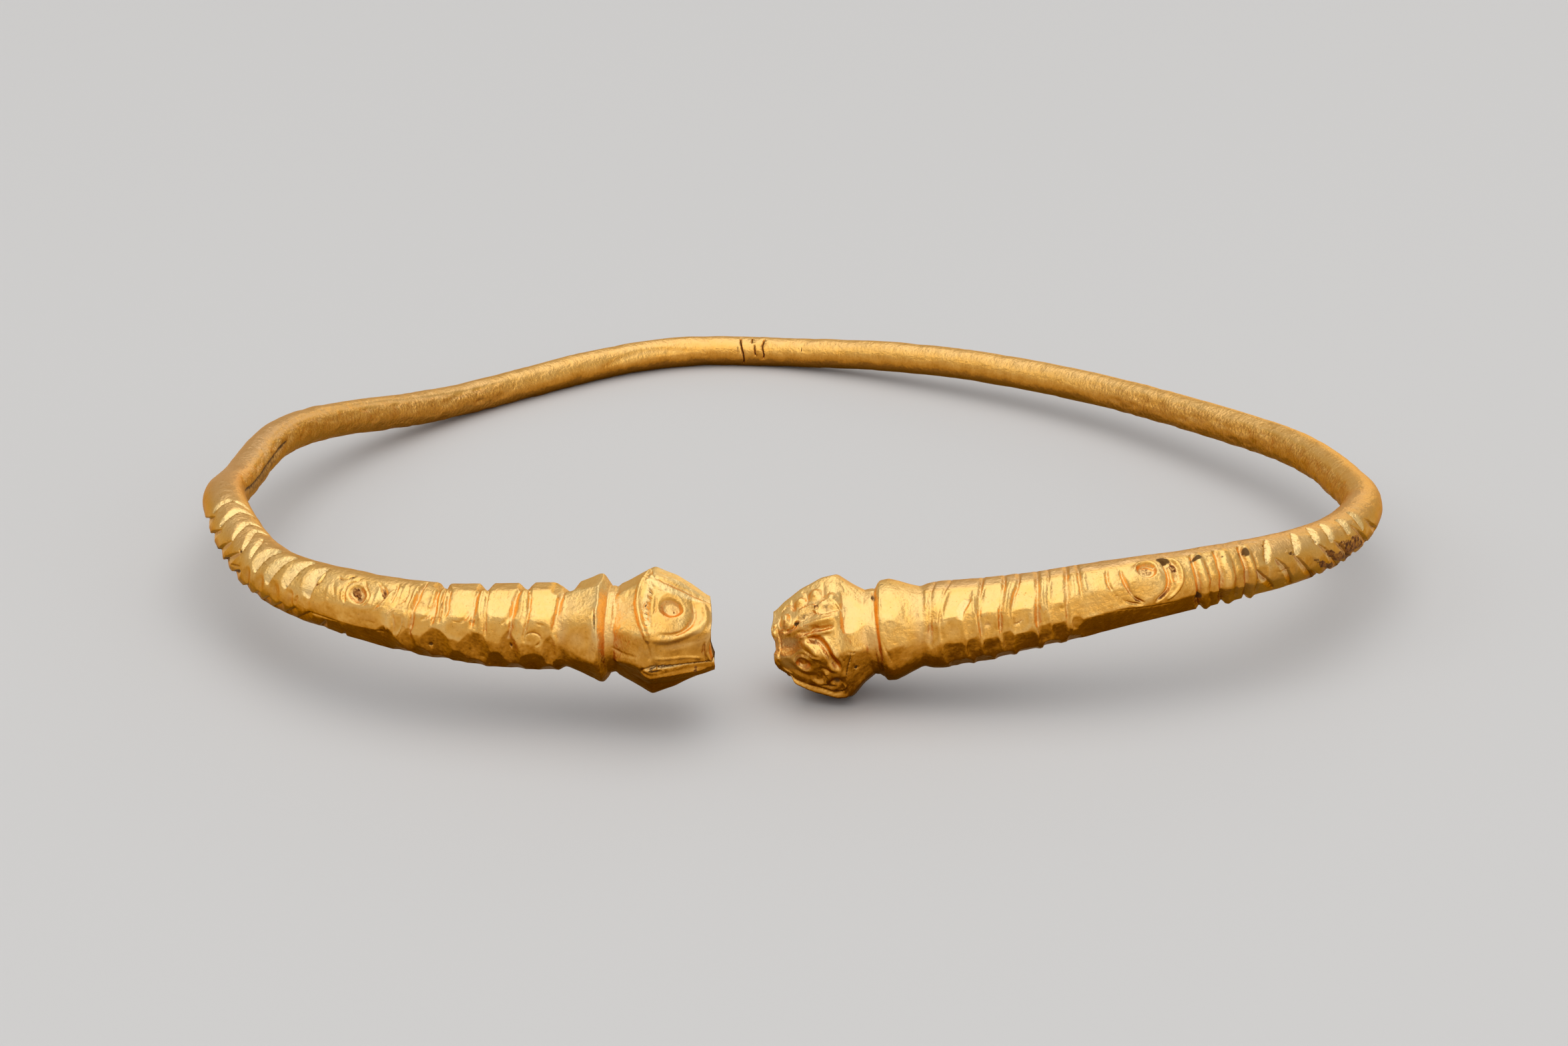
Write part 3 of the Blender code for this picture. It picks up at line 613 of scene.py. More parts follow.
muzzle_rim(right, ((-180, 0.3), (-60, 0.75), (-36, 0.5), (-22, 0.12), (-8, 0.0), (8, 0.06),
                   (14, 0.22), (27, 0.24), (38, 0.1), (50, 0.08), (60, 0.15), (72, 0.2),
                   (95, 0.2), (130, 0.25), (180, 0.3)), 1.1)
for knob in (
        (0.25, 52, (0.16, 0.28), 0.12), (0.18, 38, (0.2, 0.4), 0.14), (0.3, 26, (0.12, 0.3), 0.08),
        (0.22, 3, (0.16, 0.35), 0.1), (0.2, -12, (0.14, 0.3), 0.06), (0.28, 14, (0.1, 0.16), 0.06)):
    right.boss(*knob)
right.groove((0.45, 48, 0.5, 36, 0.46, 24, 0.42, 12, 0.38, -4), 0.1, 0.07, soil=0.4)
right.flat(5.35, 50, 0.02, 0.62, spread=26, tilt=-0.09)
# The smooth hollow on the bridge of the nose.
right.punch(1.05, 18, (1, 0.85), 0.2, wall=0.95, lean=-15)
# The brown stain over the hollow is painted shade.
right.stain(1.1, 14, (1.5, 1.5), soil=0.3)
right.groove((0.5, -4, 1.3, 2, 1.9, 10), 0.3, 0.06)
# The nostril, a raised oval, and the pit under it where crust is left.
right.boss(1.03, 53, (0.44, 0.72), 0.42, wall=0.8, lean=14)
right.punch(1.78, 43, (0.2, 0.16), 0.16, soil=1, rust=0.5, lean=-5)
right.carve(
    ((0.72, 74, 1.1, 78, 1.55, 72, 1.72, 60), 0.14, 0.12, 0.3),
    ((0.85, 38, 1.3, 36.5, 1.68, 40, 1.8, 47), 0.15, 0.2, 0.5, 0.3, 0.3),
    ((0.62, 66, 0.6, 52, 0.7, 42), 0.09, 0.1, 0.5))
# Two leaf-shaped hollows in line behind the nostril, with knobs above them.
for low_edge in ((1.7, 44, 2.3, 45, 3.05, 49), (3.1, 48, 3.7, 48, 4.4, 51)):
    right.wedge(low_edge, 0.52, 0.34, wall=0.12, steep=-1)
# Their walls get neither the bare-cut colour nor its painted highlight.
right.fresh_and_highlight[:] = 0
for knob in (
        (1.98, 73, (0.48, 0.44), 0.26), (2.95, 75, (0.46, 0.55), 0.3, 1, 20),
        (3.95, 66, (0.42, 0.44), 0.2)):
    right.boss(*knob)
# The first two stains darken the leaf hollows as painted shade; the third is red-brown crust.
for spot in (
        (2.35, 51, (0.72, 0.32), 0.52), (3.75, 54, (0.66, 0.32), 0.52), (3.05, 57, (0.2, 0.3), 0, 0.7)):
    right.stain(*spot)
right.carve(
    ((1.9, 59, 2.35, 61, 2.8, 60.5, 3.05, 55), 0.15, -0.1, 0, 0.15),
    ((3.2, 59, 3.7, 62, 4.15, 61, 4.42, 53), 0.15, -0.1, 0, 0.15),
    ((3.06, 61, 3.12, 56, 3.1, 50), 0.07, 0.08, 0.3, 0.3, 0.7),
    ((1.46, 86, 1.52, 74, 1.6, 62), 0.2, 0.1, 0.3), ((2.36, 88, 2.46, 78, 2.56, 68), 0.18, 0.1, 0.3),
    ((3.42, 90, 3.44, 78, 3.5, 67), 0.2, 0.08, 0.2), ((2.1, 87, 2.4, 86), 0.1, 0.08, 0.5),
    # The two ridges that run back from the nose to the middle of the brow.
    ((0.95, 33, 1.9, 35, 2.9, 38, 3.6, 38.5, 4.25, 40), 0.2, -0.18, 0, 0.15),
    ((2.6, 30.5, 2.95, 32.5, 3.3, 31.5, 3.7, 31.5, 4.1, 32.5), 0.12, 0.18, 0.4, 0.15),
    ((1.7, 33, 2.2, 30.5, 2.8, 29.5), 0.09, 0.1, 0.4),
    ((2.1, 25.5, 2.9, 27, 4.05, 28.5), 0.14, -0.18, 0, 0.15), ((1.85, 26.5, 2.35, 23), 0.15, -0.14),
    # The brow, a curved trough with a sharp outer edge, and the wrinkles under it.
    ((2.4, 22.5, 3, 20.5, 3.35, 13, 3.6, 3, 3.8, -7, 3.95, -16), 0.32, 0.26, 0.1, 0.12, 0, 0.9),
    ((3.3, 24, 3.7, 15, 3.92, 4, 4.1, -5), 0.2, -0.12, 0, 0.2),
    ((1.95, 21, 2.45, 14, 2.9, 5), 0.36, -0.24, 0, 0.2), ((2, 12, 2.35, 8, 2.6, 3.5), 0.1, 0.06, 0.2),
    ((2.3, 6, 2.7, 2.5, 3, 2), 0.14, -0.1), ((2.35, 20, 2.55, 17.5), 0.06, 0.06, 0.4),
    ((2.65, 16, 2.8, 13), 0.06, 0.06, 0.4))
# The near eye: a drilled pit with a dark upper lid.
right.punch(1.82, -6, (0.52, 0.55), 0.36, wall=0.55, lean=12)
right.carve(
    ((1.3, -3, 1.45, 4, 1.85, 6.5, 2.3, 3.5), 0.16, 0.1, 0.3, 0.2),
    ((0.6, 2, 0.95, -6, 1.25, -16, 1.9, -24, 2.6, -21), 0.4, 0.1, 0.2),
    # The rough curl of chisel marks behind the eye, and the pit beside it.
    ((2.1, -31, 2.6, -33, 3, -28, 3.14, -20, 3.05, -12), 0.26, -0.2, 0, 0.12))
for step in range(6):
    facing = -11 - 3.4 * step
    at = 2.98 + 0.1 * math.sin(1.1 * step)
    right.groove((at - 0.14, facing, at + 0.2, facing - 1.5), 0.06, 0.07, soil=0.35)
    right.boss(at, facing - 1.7, 0.1, 0.07)
right.boss(3.5, -11, (0.28, 0.5), 0.14, lean=30)
right.punch(3.55, -31, (0.42, 0.36), 0.2, soil=0.8, wall=0.8)
right.carve(
    ((2.3, -36, 3.1, -38, 3.6, -38), 0.14, 0.1, 0.7),
    ((3.55, -43, 3.85, -43, 3.98, -39, 3.85, -35), 0.08, -0.1),
    # The jaw's edge, a double line along the under side.
    ((0.28, -17, 0.6, -22, 1, -28), 0.12, -0.1),
    ((0.35, -30, 0.8, -36, 1.6, -41.5, 2.6, -44, 3.6, -47, 4.05, -42), 0.13, 0.15, 0.6, 0.1),
    ((0.4, -36, 1, -42, 2, -47, 3, -50, 3.95, -50.5, 4.25, -44), 0.16, -0.14, 0, 0.1))
# The cone behind the brow, with a long crack.
right.punch(4.82, -22, (0.1, 0.14), 0.08, soil=0.9, rust=0.8)
right.carve(
    ((4.72, 1.5, 4.6, -7, 4.35, -19, 4.18, -31), 0.06, 0.13, 0.9, 0.2),
    ((4.5, 4, 4.75, 1.5, 5.05, -0.5), 0.07, 0.1, 0.7), ((4.15, 2, 4.25, -8, 4.05, -24), 0.12, 0.06, 0.2),
    ((4.5, 64, 4.56, 54, 4.56, 44), 0.1, -0.05), ((4.3, 88, 4.6, 86, 4.65, 76), 0.08, 0.06, 0.4),
    ((4.2, 3, 4.7, 4, 5.3, 6.5, 6, 3), 0.1, 0.03), ((4.5, 22, 4.8, 18, 4.9, 12), 0.07, 0.04, 0.3))

# ---- The right collar ----
# The same collar behind the right head: a plain barrel of gold, filed flat in front and
# above, with brown stains near the top.

right.groove((6.22, 92, 6.28, 70, 6.33, 40, 6.38, 8, 6.5, -20, 6.45, -60), 0.2, 0.08, soil=0.2, taper=0.03)
for face in (
        (7.65, 49, 0.02, 1.3, 0, -0.22, 8, 40), (7.7, 14, 0.08, 1.3, 0, -0.25, 6, 26),
        (7.8, -14, 0.06, 1.2, 0, -0.28, 5, 26)):
    right.flat(*face)
for spot in (
        (6.2, 75, (0.14, 0.35), 0.9, 0.3), (6.85, 86, (0.22, 0.16), 0.7),
        (7.4, 84, (0.3, 0.16), 0.7, 0, -30)):
    right.stain(*spot)
right.carve(
    ((6.68, 78, 6.7, 58, 6.72, 44), 0.12, -0.06), ((6.6, 12, 6.78, -2, 7, -20), 0.1, 0.07, 0.3),
    ((7.95, 30, 8, 52, 7.7, 64), 0.1, 0.03))

# ---- The right beads ----
# Filed and cut from the rod as on the left, but longer, with the cuts between them all
# slanting the same way up the rod.

for face in (
        (11.15, 53, 0.17, 0.78, 1.35), (13.12, 53, 0.17, 0.62, 1.3), (15.05, 50, 0.16, 0.68, 1.1),
        (16.98, 48, 0.15, 0.5, 0.8), (17.72, 46, 0.08, 0.3, 0.6)):
    right.flat(*face, box=8, spread=34)
for face in (
        (10.65, 10, 0.16, 0.72, 0.3), (11.65, 14, 0.13, 0.4, 0.4), (12.75, 12, 0.16, 0.55, 0.4),
        (13.6, 12, 0.1, 0.35, 0.3), (14.6, 12, 0.15, 0.65, 0.5), (15.75, 10, 0.12, 0.5, 0.3),
        (16.65, 12, 0.13, 0.5, 0.4), (17.75, 12, 0.1, 0.4, 0.3), (9.5, 8, 0.1, 0.4, 0.2)):
    right.flat(*face, box=3, spread=28)
for face in (
        (10.6, -24, 0.19, 0.6), (11.75, -22, 0.17, 0.42), (12.75, -26, 0.19, 0.5), (13.72, -18, 0.15, 0.35),
        (14.65, -30, 0.2, 0.68), (15.8, -20, 0.16, 0.4), (16.65, -26, 0.18, 0.48), (17.72, -16, 0.15, 0.32),
        (10.9, -56, 0.16, 0.7), (12.2, -54, 0.16, 0.5), (13.4, -58, 0.16, 0.55), (14.8, -62, 0.16, 0.65),
        (16.2, -58, 0.16, 0.55), (17.6, -54, 0.14, 0.5), (11.5, -84, 0.12, 0.8), (13.9, -86, 0.12, 0.9),
        (16.3, -86, 0.12, 0.9)):
    right.flat(*face, box=7, spread=34, slant=0.1)
# The cuts between the beads lean along the arm as they climb.
for path, half, depth in (
        ((9.97, 120, 9.85, 96, 9.7, 80, 9.55, 60, 9.5, 40, 9.4, 20, 9.42, 2), 0.16, 0.14),
        ((10.87, 120, 10.75, 92, 10.45, 74, 10.2, 56, 10.02, 36, 9.98, 10, 10, -14), 0.14, 0.13),
        ((12.87, 120, 12.75, 98, 12.6, 76, 12.4, 54, 12.28, 32, 12.25, 8, 12.15, -16), 0.18, 0.22),
        ((14.27, 120, 14.15, 98, 14, 76, 13.8, 56, 13.5, 34, 13.38, 14, 13.3, -14), 0.17, 0.22),
        ((15.12, 120, 15, 98, 14.85, 76, 14.5, 56, 14.22, 36, 14.05, 20), 0.16, 0.2),
        ((16.22, 120, 16.1, 98, 15.95, 76, 15.8, 52, 15.62, 30, 15.5, 8, 15.4, -16), 0.22, 0.26),
        ((16.87, 120, 16.75, 92, 16.6, 72, 16.42, 50, 16.25, 28, 16.18, 10), 0.12, 0.15),
        ((17.97, 120, 17.85, 98, 17.7, 76, 17.5, 52, 17.32, 28, 17.22, 4, 17.15, -16), 0.2, 0.27),
        ((18.62, 120, 18.5, 94, 18.38, 74, 18.25, 50, 18.14, 28, 18.1, 8), 0.14, 0.19)):
    v_cut(right, path, half * 1.05, depth * 0.75, soil=0.1)
for path, half in (
        ((14.45, 84, 14.25, 68, 13.98, 48, 13.75, 30, 13.62, 17), 0.13),
        ((12.1, 62, 12.02, 46, 11.98, 28), 0.1), ((10.35, 66, 10.1, 48, 9.85, 30, 9.72, 16), 0.12),
        ((9.3, 82, 9.28, 60, 9.22, 44), 0.12), ((16.3, 80, 16.15, 60, 15.98, 38, 15.85, 14), 0.1),
        ((18, 76, 17.88, 54, 17.75, 30), 0.12), ((18.68, 76, 18.58, 60, 18.5, 40, 18.45, 26), 0.16)):
    right.ridge(path, half, 0.08, taper=0.15, edge=0.6)
# A small extra facet on the first bead, and marks on the middle row.
right.punch(12.68, 13, (0.24, 0.24), 0.06, soil=0.3, wall=1)
right.wedge((11.25, 25, 11.5, 40, 11.92, 54), 0.5, 0.13, wall=0.08, steep=-1)
right.carve(
    ((14.05, 8, 14.4, 9, 14.7, 14), 0.07, 0.07, 0.5), ((9.45, 26, 9.3, 8, 9.35, -12), 0.3, 0.14, 0.3))
for pit in ((11.6, 36), (12.9, 48), (14.7, 54), (15.1, 40)):
    right.punch(*pit, 0.05, 0.03, soil=0.6, rust=0.5)
right.ridge((17.45, -2, 17.3, -14, 17.6, -30, 17.95, -52), 0.16, 0.1)

# The eye on the right arm: a drilled pit above a half disc, between two crescents.
right.boss(22, 38, (1.2, 1.35), 0.14, wall=0.3)
right.punch(22.24, 57, (0.64, 0.64), 0.34, soil=0.1)
for spot in (
        (22.24, 57, (0.6, 0.6), 0, 0.55), (23.78, 50, (0.34, 0.85), 0, 0.6),
        (23.4, 72, (0.6, 0.34), 1, 0.1, -20)):
    right.stain(*spot)
right.carve(
    ((20, 74, 19.86, 62, 19.8, 46, 19.95, 30, 20.35, 14, 21, 2, 21.7, -4), 0.16, 0.14, 0.25, 0.1),
    ((20.72, 66, 20.74, 48, 20.88, 28, 21.25, 9, 21.75, -2), 0.17, 0.2, 0.25, 0.1),
    ((21.6, 60, 21.8, 72, 22.25, 76, 22.7, 72, 22.9, 60), 0.12, -0.07, 0, 0.15),
    ((23.25, 76, 23.4, 62, 23.36, 42, 23.24, 22, 22.9, 6, 22.4, -4), 0.2, 0.26, 0.3, 0.1),
    ((23.6, 72, 23.8, 58, 23.82, 40, 23.7, 24), 0.36, 0.16, 0.2, 0.2, 0, 1, 0.4),
    ((23.9, 77, 24.16, 62, 24.22, 44, 24.08, 26, 23.75, 10, 23.1, -5), 0.16, -0.12, 0, 0.1))
for step in range(11):
    at = 19.0 + 0.22 * step + 0.1 * math.sin(3.7 * step)
    right.boss(at, 33 - 2.3 * step + 6 * math.sin(5.1 * step), 0.2, 0.06)
    right.punch(at + 0.1, 24 - 1.2 * step + 7 * math.sin(4.3 * step), 0.08, 0.035, soil=0.4)
for knob in ((23.75, 66), (23.9, 52), (23.7, 40), (23.85, 31), (23.6, 55)):
    right.boss(*knob, 0.12, 0.05)
right.punch(19.55, -18, (0.14, 0.1), 0.05, soil=0.8, rust=0.6)
right.groove((18, -10, 18.4, -5, 19.1, -4, 20.4, -6, 22, -12, 24.9, -14), 0.12, 0.06, soil=0.35, taper=0.05)
for face in (
        (21.5, -34, 0.2, 3.7, 0, 0, 6, 40), (21.3, 14, 0.06, 3.4, 0, 0, 6, 24),
        (28.5, -34, 0.12, 5, 0, 0, 4, 36)):
    right.flat(*face)

# ---- The rings and cuts on the right arm ----
# Three raised rings, then chisel cuts above and slanting grooves below, with hard
# brown crust in the hollows where the arm bends.

for start, low, high in ((25.12, 25.3, 25.85), (26.68, 26.88, 27.55), (28.38, 28.55, 29.05)):
    right.groove((start + 0.22, 80, start + 0.05, 60, start, 20, start + 0.04, -12, start + 0.3, -45,
                  start + 0.85, -80, start + 1.2, -110), 0.24, 0.24, soil=0.4, taper=0.04, edge=0.3)
    middle = (low + high) / 2
    right.ridge((middle + 0.2, 82, middle, 60, middle, 20, middle, -12, middle + 0.2, -42,
                 middle + 0.8, -78, middle + 1.1, -104), (high - low) * 0.62, 0.13, taper=0.06, edge=0.6)
    right.groove((high + 0.12, 60, high + 0.08, 24, high + 0.1, -10, high + 0.4, -45), 0.16, 0.08,
                 soil=0.15, taper=0.1)
    right.flat(high + 0.5, 4, 0.1, 0.45, box=6, spread=24)
    right.flat(high + 0.5, 42, 0.03, 0.5, box=6, spread=24)
for spot in (
        (25.2, -20, (0.3, 0.6), 1), (25.5, 66, (0.45, 0.26), 1), (25.75, 29, (0.07, 0.12), 0.5, 0.8),
        (27, 57, (0.16, 0.1), 0.7, 0.3, -30), (28.68, 58, (0.28, 0.5), 0.95, 0.25)):
    right.stain(*spot)
right.groove((25.08, -2, 25.14, -18, 25.35, -38), 0.26, 0.1, soil=1, rust=0.15)
for cut in (
        ((29.76, 25, 29.95, 44, 30.22, 64, 30.62, 82), 0.42, 0.17),
        ((32.1, 27, 32.33, 48, 32.62, 68, 33, 86), 0.58, 0.2),
        ((34.2, 36, 34.28, 52, 34.45, 70, 34.75, 89), 0.62, 0.2),
        ((35.62, 30, 35.72, 48, 35.9, 68, 36.3, 90), 0.7, 0.22),
        ((37.78, 30, 37.86, 46, 37.92, 62, 38, 82), 0.72, 0.22),
        ((39.78, 18, 39.68, 38, 39.72, 58, 39.85, 82), 0.72, 0.22)):
    right.wedge(*cut, soil=0.2)
right.punch(30.16, 66, 0.12, 0.06, soil=0.7, rust=0.9)
right.punch(34.2, 54, (0.14, 0.1), 0.06, soil=0.8, rust=0.6)
right.groove((29.72, 33, 29.88, 48, 30.12, 64), 0.07, 0.05, soil=0.6, rust=0.9)
for cut in (
        ((29, 20, 29.5, 3, 30.1, -17, 30.85, -46), 0.42, 0.18),
        ((30.55, 32, 31.15, 10, 31.7, -13, 32.4, -48), 0.42, 0.2),
        ((32, 30, 32.75, 4, 33.6, -24, 34.8, -62), 0.42, 0.2),
        ((34.35, 38, 35.1, 16, 35.85, -10, 37.4, -52), 0.4, 0.18),
        ((36.05, 34, 36.8, 10, 37.7, -16, 39.4, -60), 0.4, 0.2),
        ((38.75, 46, 39.25, 24, 40, -2, 42, -52), 0.42, 0.22),
        ((40.85, 40, 41.4, 18, 42.2, -6, 43.4, -32), 0.42, 0.24)):
    right.wedge(*cut, soil=0.45, wall=0.14)
for start, facing in ((33.6, -16), (35, -20), (36.8, -22), (38.4, -18)):
    right.wedge((start, facing, start + 1.4, facing - 34, start + 3, facing - 66), 0.4, 0.14, soil=0.4,
                wall=0.14)
for at, facing, size, soil, rust in (
        (35.5, 6, (0.8, 0.4), 0.5, 0.7), (34.7, -12, (0.9, 0.4), 0.5, 0.7),
        (37.9, 0, (1.5, 0.7), 0.5, 0.75), (38.6, 11, (1, 0.5), 0.4, 0.7), (36.6, -12, (1.4, 0.6), 0.5, 0.7),
        (37.1, 14, (1, 0.4), 0.4, 0.65), (33.9, 4, (0.8, 0.3), 0.5, 0.5), (39.3, -10, (1.2, 0.6), 0.5, 0.7),
        (31.8, 33, (0.5, 0.22), 0.6, 0.6), (34.6, 33, (0.5, 0.22), 0.5, 0.5),
        (35.8, -28, (1, 0.4), 0.7, 0.7), (38, -30, (1.2, 0.4), 0.6, 0.7)):
    right.stain(at, facing, size, soil=soil, rust=rust, lean=-25)
    for knot in range(4):
        right.boss(at + 0.3 * math.sin(2.3 * knot + at), facing + 5 * math.cos(3.1 * knot + at), 0.15, 0.05)
right.groove((30.2, 8, 31, 0, 31.6, 4), 0.14, 0.05, soil=0.3)
for at, facing, half in ((30.4, -2, 0.4), (31.9, -2, 0.4), (33.4, 2, 0.45)):
    right.flat(at, facing, 0.06, half, box=2, spread=20, slant=-0.3)

# ---- The plain back ----
# Behind the last cuts the rod is bare. The bend closed and dragged the gold on its
# inner side, which stayed rough, and three short cracks opened near the middle.

back_stations = np.concatenate((
    np.arange(CARVED_TO, 86.0, 0.2)[1:], np.arange(86.0, 97.9, 0.4),
    np.arange(97.9, 100.3, 0.03), np.arange(100.3, 103.1, 0.07),
    np.arange(103.1, rod_length - 82.0, 0.4),
    np.arange(rod_length - 82.0, rod_length - CARVED_TO, 0.25)))
back = Skin(back_stations, np.minimum(back_stations, rod_length - back_stations), LEFT_ROD)
for path, half in (
        ((98.22, 96, 98.26, 125, 98.36, 149, 98.46, 164, 98.45, 222), 0.07),
        ((99.02, 92, 99.06, 127), 0.055), ((99.28, 132, 99.4, 178), 0.055),
        ((99.95, 102, 99.88, 136, 99.95, 155, 100, 164, 99.92, 192), 0.062),
        ((98.05, 140, 98.08, 166), 0.03), ((102.78, 133, 102.82, 156), 0.05)):
    deep = half > 0.052
    back.groove(path, half, 0.16 if deep else 0.03, soil=1 if deep else 0, taper=0.1, rust=1, edge=0,
                bed=0.3)
back.groove((87.5, 172, 89.5, 150, 92, 146, 94.5, 160), 0.5, 0.07, soil=0.2)
# The dirty crease where the left bend was folded in; its walls get neither the bare-cut colour nor its
# painted highlight.
back.stain(49.5, 186, (7, 0.75), soil=0.52)
back.wedge((43.2, 169, 45.5, 168, 48, 169, 50.5, 166, 53, 165, 55.5, 161), 1.6, 0.26,
           soil=0.85, wall=0.12, steep=-1)
back.fresh_and_highlight[:] = 0
# The edge of the dragged skin, and a second fold where the right arm turns.
back.groove((50, 132, 55, 125, 61, 120, 68, 122, 75, 130, 82, 140), 0.3, 0.04, soil=0.2)
back.groove((136, 118, 140, 108, 145, 103), 0.55, 0.05, soil=0.3, taper=0.2)


# ---- The skin of the whole bracelet ----
# Arms and back are one piece of gold, closed by a muzzle at each end. Hammering and
# wear leave it slightly uneven, and the rough inner side of the bends is pitted.

along = np.concatenate((left.stations, back.stations, rod_length - right.stations[::-1]))
slide = np.concatenate((left.slide, back.slide, -right.slide[::-1]))
reach, soil, rust, fresh_and_highlight = (
    np.concatenate((getattr(left, name), getattr(back, name), getattr(right, name)[::-1]))
    for name in ("reach", "soil", "rust", "fresh_and_highlight"))

middle, heading, outward, lift = middle_line(along)
angles = np.radians(around)
spokes = (np.cos(angles)[None, :, None] * outward[:, None, :]
          + np.sin(angles)[None, :, None] * lift[:, None, :])

# How far each place lies below the gold round it: positive in the cuts.
recess = soften(reach, 12, 9) - reach

# The inner side of the two bends, where the skin was dragged and pitted.
inner = ramp(np.cos(angles - math.radians(192))[None, :], 0.4, 0.66)
from_left, from_right = along[:, None], (rod_length - along)[:, None]
dragged = inner * np.maximum(ramp(from_left, 42, 45) * (1 - ramp(from_left, 76, 86)),
                             ramp(from_right, 38, 44) * (1 - ramp(from_right, 74, 82)))
straight = np.stack((np.broadcast_to(along[:, None], reach.shape),
                     reach * np.cos(angles)[None, :], reach * np.sin(angles)[None, :]), axis=-1)
# Hammering left swells of three sizes.
reach = reach + 0.03 * lumps(straight, 2.6, 1) + 0.024 * lumps(straight, 1.1, 2)
reach += 0.018 * lumps(straight, 0.45, 3) * (0.4 + 0.6 * ramp(lumps(straight, 2.2, 8), -0.3, 0.4))
# Small pits, scattered sparsely over the gold and thickly over the dragged skin.
pits = ramp(lumps(straight, 0.34, 4) * (0.55 + 0.45 * lumps(straight, 1.5, 5)), 0.4, 0.75)
drag = lumps(straight * (0.5, 1.0, 1.0), 0.4, 6)
reach -= 0.035 * pits + dragged * (0.07 * ramp(drag, -0.1, 0.6)
                                   + 0.05 * ramp(lumps(straight, 0.75, 7), 0.0, 0.6) - 0.02)

points = (middle[:, None, :] + reach[:, :, None] * spokes
          + slide[:, :, None] * heading[:, None, :])
# Each muzzle is closed by rings that shrink to its middle, dished by so much.
CAP_RINGS = 10
DISH = 0.12


def muzzle_cap(loop, inwards):
    """The rings that close one muzzle, and the tip of the last."""
    tip = loop.mean(axis=0) + DISH * inwards
    shrink = np.linspace(1, 0, CAP_RINGS + 1)[1:-1]
    return [tip + (loop - tip) * f - DISH * (f * f - f) * inwards for f in shrink], tip


# From millimetres to the frame's metres, a hair inside the box of the CAD.
TIGHT = 0.9999
HAIR = 2e-6
scale = TIGHT * min((cad_high.x - cad_low.x) / np.ptp(points[:, :, 0]),
                    (cad_high.y - cad_low.y) / np.ptp(points[:, :, 1]))
centre_x = (points[:, :, 0].max() + points[:, :, 0].min()) / 2
centre_y = (points[:, :, 1].max() + points[:, :, 1].min()) / 2
shift = np.array((centre_x, centre_y, 0.0))

left_cap, left_tip = muzzle_cap(points[0], heading[0])
right_cap, right_tip = muzzle_cap(points[-1], -heading[-1])
grid = (np.array(left_cap[::-1] + list(points) + right_cap) - shift) * scale
grid[:, :, 2] = np.clip(grid[:, :, 2], HAIR, cad_high.z - HAIR)
tips = (np.array((left_tip, right_tip)) - shift) * scale

n_rows, n_cols = grid.shape[:2]
verts = np.concatenate((grid.reshape(-1, 3), tips))
round_ring = [(j, (j + 1) % n_cols) for j in range(n_cols)]
last_ring = (n_rows - 1) * n_cols
faces = [(row + j, row + k, row + n_cols + k, row + n_cols + j)
         for row in range(0, last_ring, n_cols) for j, k in round_ring]
for j, k in round_ring:
    faces += (len(verts) - 2, k, j), (len(verts) - 1, last_ring + j, last_ring + k)
mesh = bpy.data.meshes.new("bracelet_gold")
mesh.from_pydata(verts.tolist(), [], faces)
bm = bmesh.new()
bm.from_mesh(mesh)
bmesh.ops.recalc_face_normals(bm, faces=bm.faces)
bm.to_mesh(mesh)
bm.free()


def per_vertex(name, values):
    """Keep a value worked out on the net of stations with each point of the mesh."""
    rings = [values[:1]] * (CAP_RINGS - 1) + [values] + [values[-1:]] * (CAP_RINGS - 1)
    rows = np.concatenate(rings).reshape(n_rows * n_cols, -1)
    tips_too = np.concatenate((rows, rows[:1], rows[-1:])).astype(np.float32)
    vector = tips_too.shape[1] == 3
    layer = mesh.attributes.new(name, "FLOAT_VECTOR" if vector else "FLOAT", "POINT")
    layer.data.foreach_set("vector" if vector else "value", tips_too.ravel())


# Which way the rod faces without its cuts, as a share: 0 is down and 1 is up.
rod_up = 0.5 + 0.5 * spokes[:, :, 2]
# The skin left uncut round the bends kept a duller film than the faceted arms did.
dull_and_shade = (ramp(from_left, 24, 30) * ramp(from_right, 25, 30)
        * (1 - 0.5 * ramp(from_left, 76, 84) * ramp(from_right, 42, 56))
        * (1 + 0.4 * ramp(from_left, 37, 43) * (1 - ramp(from_left, 54, 64))))
# So did a strip along the top of each arm. On the cheek round the left eye and the bridge
# of the right nose the same darkening is painted shade.
over = turn(around, 0.0)[None, :]
from_end = np.minimum(from_left, from_right)
film = np.where(from_right < 45, 1.2, 0.8)
strip = film * ramp(over, 64, 84) * (1 - ramp(over, 150, 170)) * ramp(from_end, 8, 10)
cheek = 0.7 * ramp(over, -30, 0) * (1 - ramp(over, 80, 84)) * (1 - ramp(from_left, 3.0, 4.2))
nose = (ramp(over, -24, -8) * (1 - ramp(over, 24, 32)) * ramp(from_right, 0.3, 0.6)
        * (1 - ramp(from_right, 1.4, 2.0)))
dull_and_shade = np.maximum(np.maximum(dull_and_shade, nose), np.maximum(strip, cheek)) * (1 - fresh_and_highlight)
for name, values in {"rod_up": rod_up, "dull_and_shade": dull_and_shade, "soil": soil, "rust": rust, "fresh_and_highlight": fresh_and_highlight,
                     "recess": recess, "dragged": dragged, "straight": straight}.items():
    per_vertex(name, values)
bracelet = bpy.data.objects.new("bracelet_gold", mesh)
bpy.context.scene.collection.objects.link(bracelet)
# Plain stretches need fewer faces than the carving does.
FACE_BUDGET = 194000
fewer = bracelet.modifiers.new("fewer_faces", "DECIMATE")
fewer.ratio = min(1.0, FACE_BUDGET / (2 * len(mesh.polygons)))
fewer.use_collapse_triangulate = True
depsgraph = bpy.context.evaluated_depsgraph_get()
mesh = bpy.data.meshes.new_from_object(bracelet.evaluated_get(depsgraph))
bracelet.modifiers.clear()
bracelet.data = mesh
mesh.shade_smooth()
